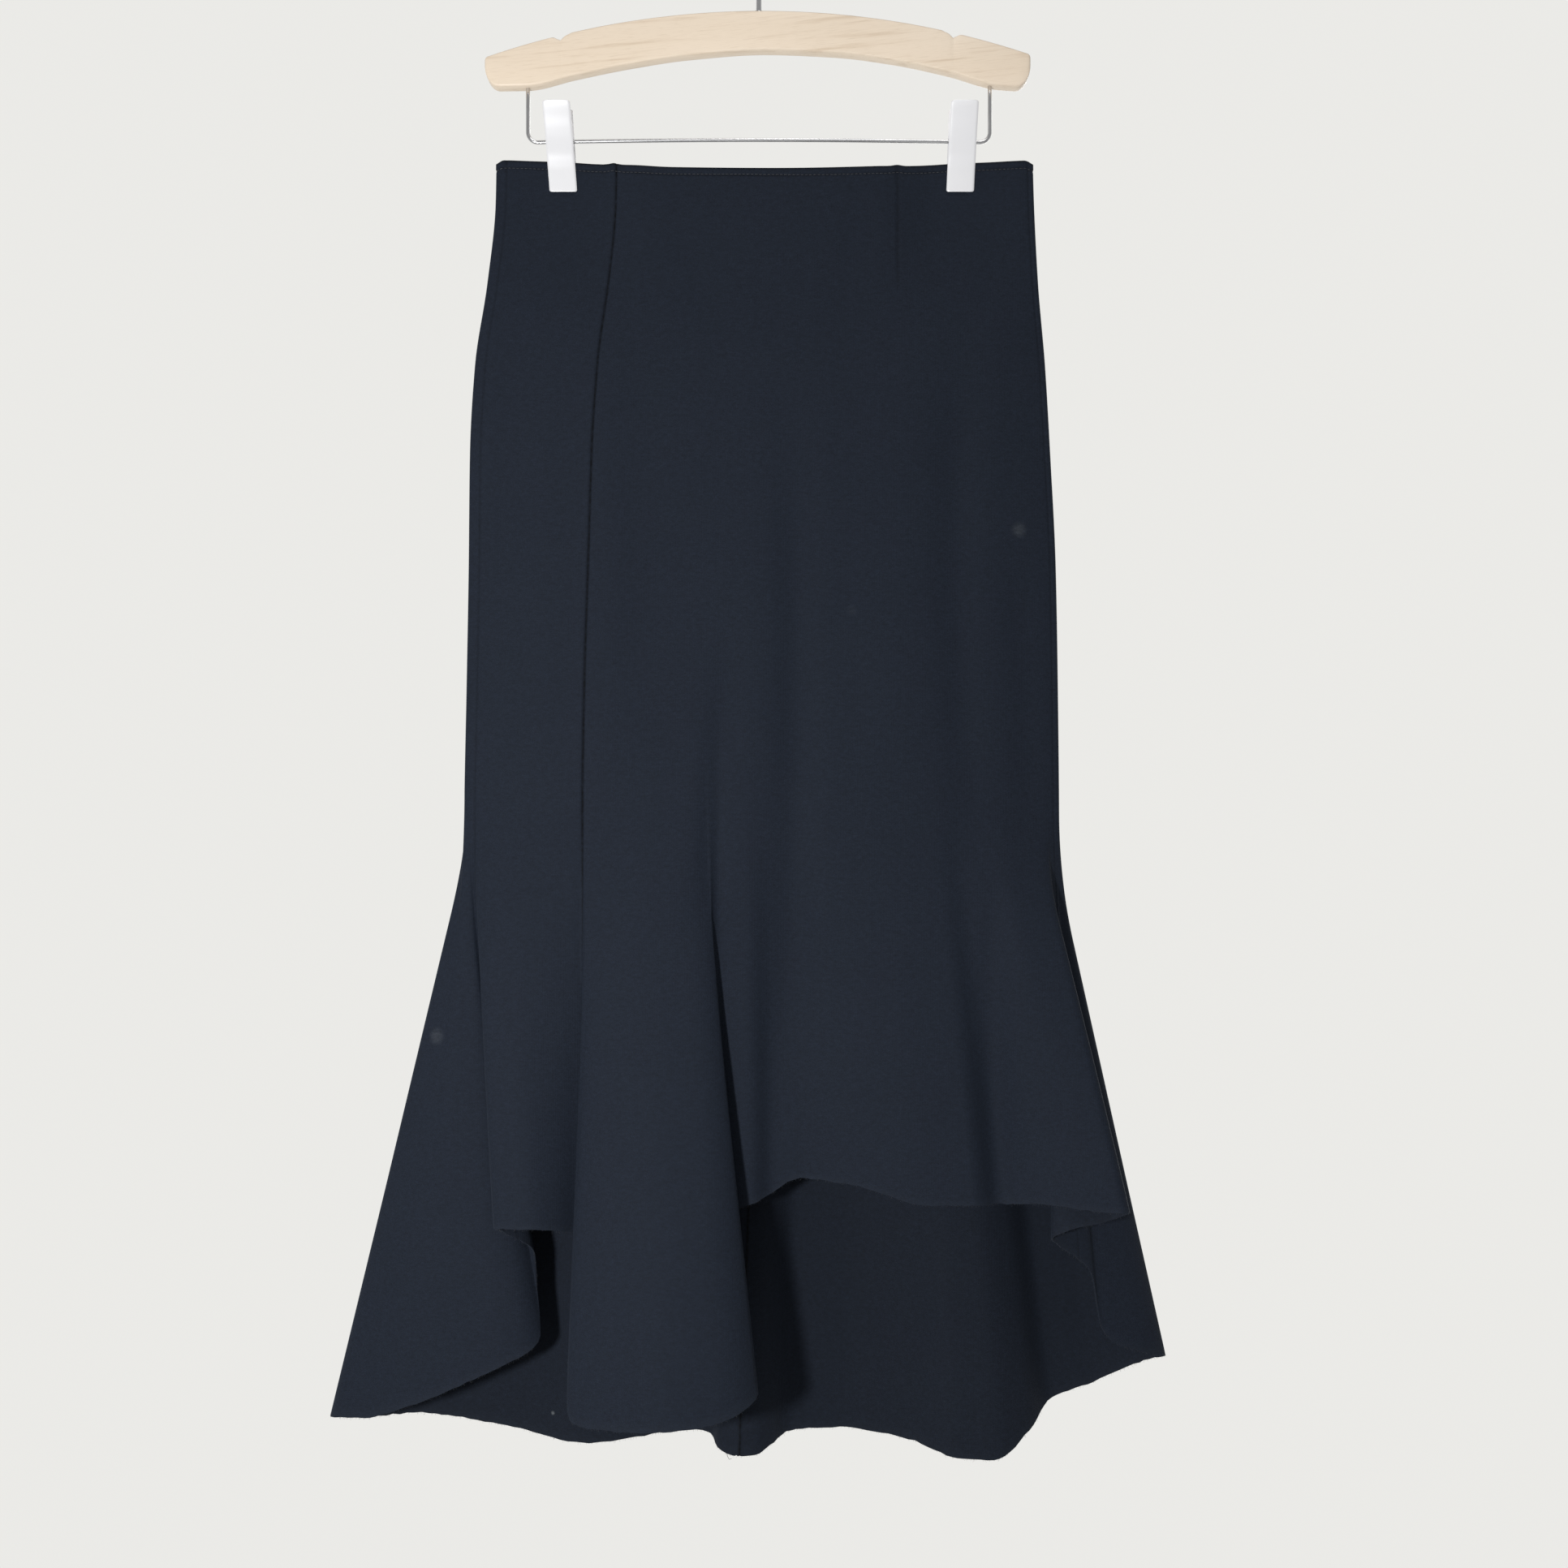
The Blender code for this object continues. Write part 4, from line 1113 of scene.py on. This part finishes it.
JAW_PROFILE = (
    # out from the bar's plane, z: the jaw's inner face
    (7.6, JAW_TOP),
    (6.9, JAW_TOP - 2.5),
    (5.6, JAW_TOP - 10.0),
    (4.3, BAR_Z + 7.0),
    (3.6, BAR_Z),
    (3.4, BAR_Z - 8.0),
    (2.6, JAW_LOW + 19.0),
    (2.1, JAW_LOW + 14.0),
    (2.0, JAW_LOW),
)


def jaw_row(out, middle_x, half, facing, z, layer):
    """Points across the jaw at one height, on its inner face (layer 0) or its outer face (layer 1)."""
    row = []
    for mark in JAW_MARKS:
        turned = JAW_TURN * max(0.0, (abs(mark) - JAW_TURN_FROM) / (1.0 - JAW_TURN_FROM)) ** 2
        distance = out + layer * (JAW_SHEET + JAW_CROWN * (1.0 - mark * mark))
        distance -= turned * JAW_TURN_SHARES[layer]
        row.append(((middle_x + mark * half) * MM, facing * distance * MM, z * MM))
    return row


def jaw_faces(n, m):
    """Faces of the closed plate: n rows of m points on the inner face, then as many on the outer one."""
    size = m * n
    faces = []
    for r in range(n - 1):
        for c in range(m - 1):
            a, b = r * m + c, (r + 1) * m + c
            faces.append((a, b, b + 1, a + 1))
            faces.append((size + a, size + a + 1, size + b + 1, size + b))
        for c, turned in ((0, False), (m - 1, True)):
            a, b = r * m + c, (r + 1) * m + c
            faces.append(turned_if(turned, (a, size + a, size + b, b)))
    for r, turned in ((0, True), (n - 1, False)):
        for c in range(m - 1):
            a = r * m + c
            faces.append(turned_if(turned, (a, size + a, size + a + 1, a + 1)))
    return faces


def build_jaw(name, clip_x, tilt, facing):
    """A pressed plate with rounded corners, a slight crown and edges turned a little towards the cloth."""
    lean = math.tan(math.radians(tilt))
    outs, zs = zip(*JAW_PROFILE)
    levels = list(np.linspace(JAW_TOP, JAW_LOW, JAW_LEVELS))
    for inset in JAW_RIM_LEVELS:
        levels += [JAW_TOP - inset, JAW_LOW + inset]
    levels = sorted(set(levels))[::-1]
    layers = [[], []]
    for z in levels:
        out = float(smooth_reading(zs, outs, np.array([z]))[0])
        inset = JAW_CORNER * rounded(min(JAW_TOP - z, z - JAW_LOW), JAW_CORNER)
        for layer in (0, 1):
            middle_x = clip_x + (BAR_Z - z) * lean
            layers[layer] += jaw_row(out, middle_x, JAW_WIDTH / 2 - inset, facing, z, layer)
    faces = [turned_if(facing > 0, face) for face in jaw_faces(len(levels), len(JAW_MARKS))]
    mesh = mesh_of(name + "_plate", layers[0] + layers[1], faces)
    fix = bmesh.new()
    fix.from_mesh(mesh)
    bmesh.ops.recalc_face_normals(fix, faces=fix.faces)
    fix.to_mesh(mesh)
    fix.free()
    mesh.shade_smooth()
    add_piece(name + "_plate", mesh, clip_metal, (name,))


def build_spring(name, clip_x):
    """The wound spring round the bar, with one leg up inside the jaws."""
    coil = []
    radius, steps = BAR_WIRE / 2 + SPRING_CLEAR, SPRING_TURNS * SPRING_STEPS
    for i in range(steps + 1):
        angle = 2 * math.pi * i / SPRING_STEPS
        x = clip_x - SPRING_HALF_LENGTH + 2 * SPRING_HALF_LENGTH * i / steps
        coil.append((x, radius * math.cos(angle), bar_height(clip_x) + radius * math.sin(angle)))
    x, y, z = coil[0]
    leg = [(x, y + out, z + up) for out, up in SPRING_LEG]
    mesh = mesh_of(name + "_coil", *swept_mm(leg + coil, SPRING_WIRE, 8))
    add_piece(name + "_coil", mesh, spring_metal, (name,))


build_wood()
build_hook()
build_bar()
for side, clip_x, tilt in zip(("left", "right"), CLIP_X, CLIP_TILT):
    build_jaw(f"clip_{side}_front", clip_x, tilt, -1)
    build_jaw(f"clip_{side}_back", clip_x, tilt, 1)
    build_spring(f"clip_{side}_spring", clip_x)

# ---------------------------------------------------------------- stage and light

WORLD_FRONT = (0.31, 0.31, 0.31)
WORLD_BACK = (0.83, 0.825, 0.80)
WORLD_TURN = (-0.5, 0.75)
FLOOR_Z = -1.75
FLOOR_HALF = 1.3
FLOOR_DEEP, FLOOR_PALE = (0.70, 0.71, 0.71), (0.74, 0.75, 0.75)
AIM = (0.0, 0.0, -0.58)
LIGHTS = (
    # name, place, width, power, colour
    ("key", (-0.44, -1.02, -0.70), 0.12, 12.0, (1.0, 1.0, 1.0)),
    ("top", (0.1, -0.7, 0.85), 0.5, 3.5, (1.0, 0.99, 0.97)),
    ("back_fill", (0.5, 1.6, 0.2), 0.8, 7.0, (1.0, 1.0, 1.0)),
)


def build_floor():
    made, tree, shader = new_material("pale_floor", 0.8)
    cloud = noise(tree, object_space(tree), 3.0, 2.0)
    link(tree, mix_colour(tree, cloud, FLOOR_DEEP, FLOOR_PALE), shader.inputs["Base Color"])
    corners = [(x * FLOOR_HALF, y * FLOOR_HALF, FLOOR_Z) for x, y in ((-1, -1), (1, -1), (1, 1), (-1, 1))]
    floor = bpy.data.objects.new("floor", mesh_of("floor", corners, [(0, 1, 2, 3)], smooth=False))
    floor.data.materials.append(made)
    bpy.context.scene.collection.objects.link(floor)


def add_area_light(name, place, width, power, colour):
    data = bpy.data.lights.new(name, "AREA")
    data.shape = "DISK"
    data.size = width
    data.energy = power
    data.color = colour
    lamp = bpy.data.objects.new(name, data)
    lamp.location = place
    lamp.rotation_euler = (Vector(AIM) - Vector(place)).to_track_quat("-Z", "Y").to_euler()
    bpy.context.scene.collection.objects.link(lamp)


def build_world():
    """A pale room: bright behind the skirt, dimmer behind the camera."""
    world = bpy.data.worlds.new("pale")
    world.use_nodes = True
    tree = world.node_tree
    where = add_node(tree, "ShaderNodeTexCoord")
    apart = add_node(tree, "ShaderNodeSeparateXYZ")
    link(tree, where.outputs["Generated"], apart.inputs[0])
    share = ramp(tree, apart.outputs["Y"], *WORLD_TURN, 0.0, 1.0)
    colour = mix_colour(tree, share, WORLD_FRONT, WORLD_BACK)
    link(tree, colour, tree.nodes["Background"].inputs["Color"])
    bpy.context.scene.world = world


build_floor()
build_world()
for light in LIGHTS:
    add_area_light(*light)

bpy.context.scene.view_settings.view_transform = "Standard"
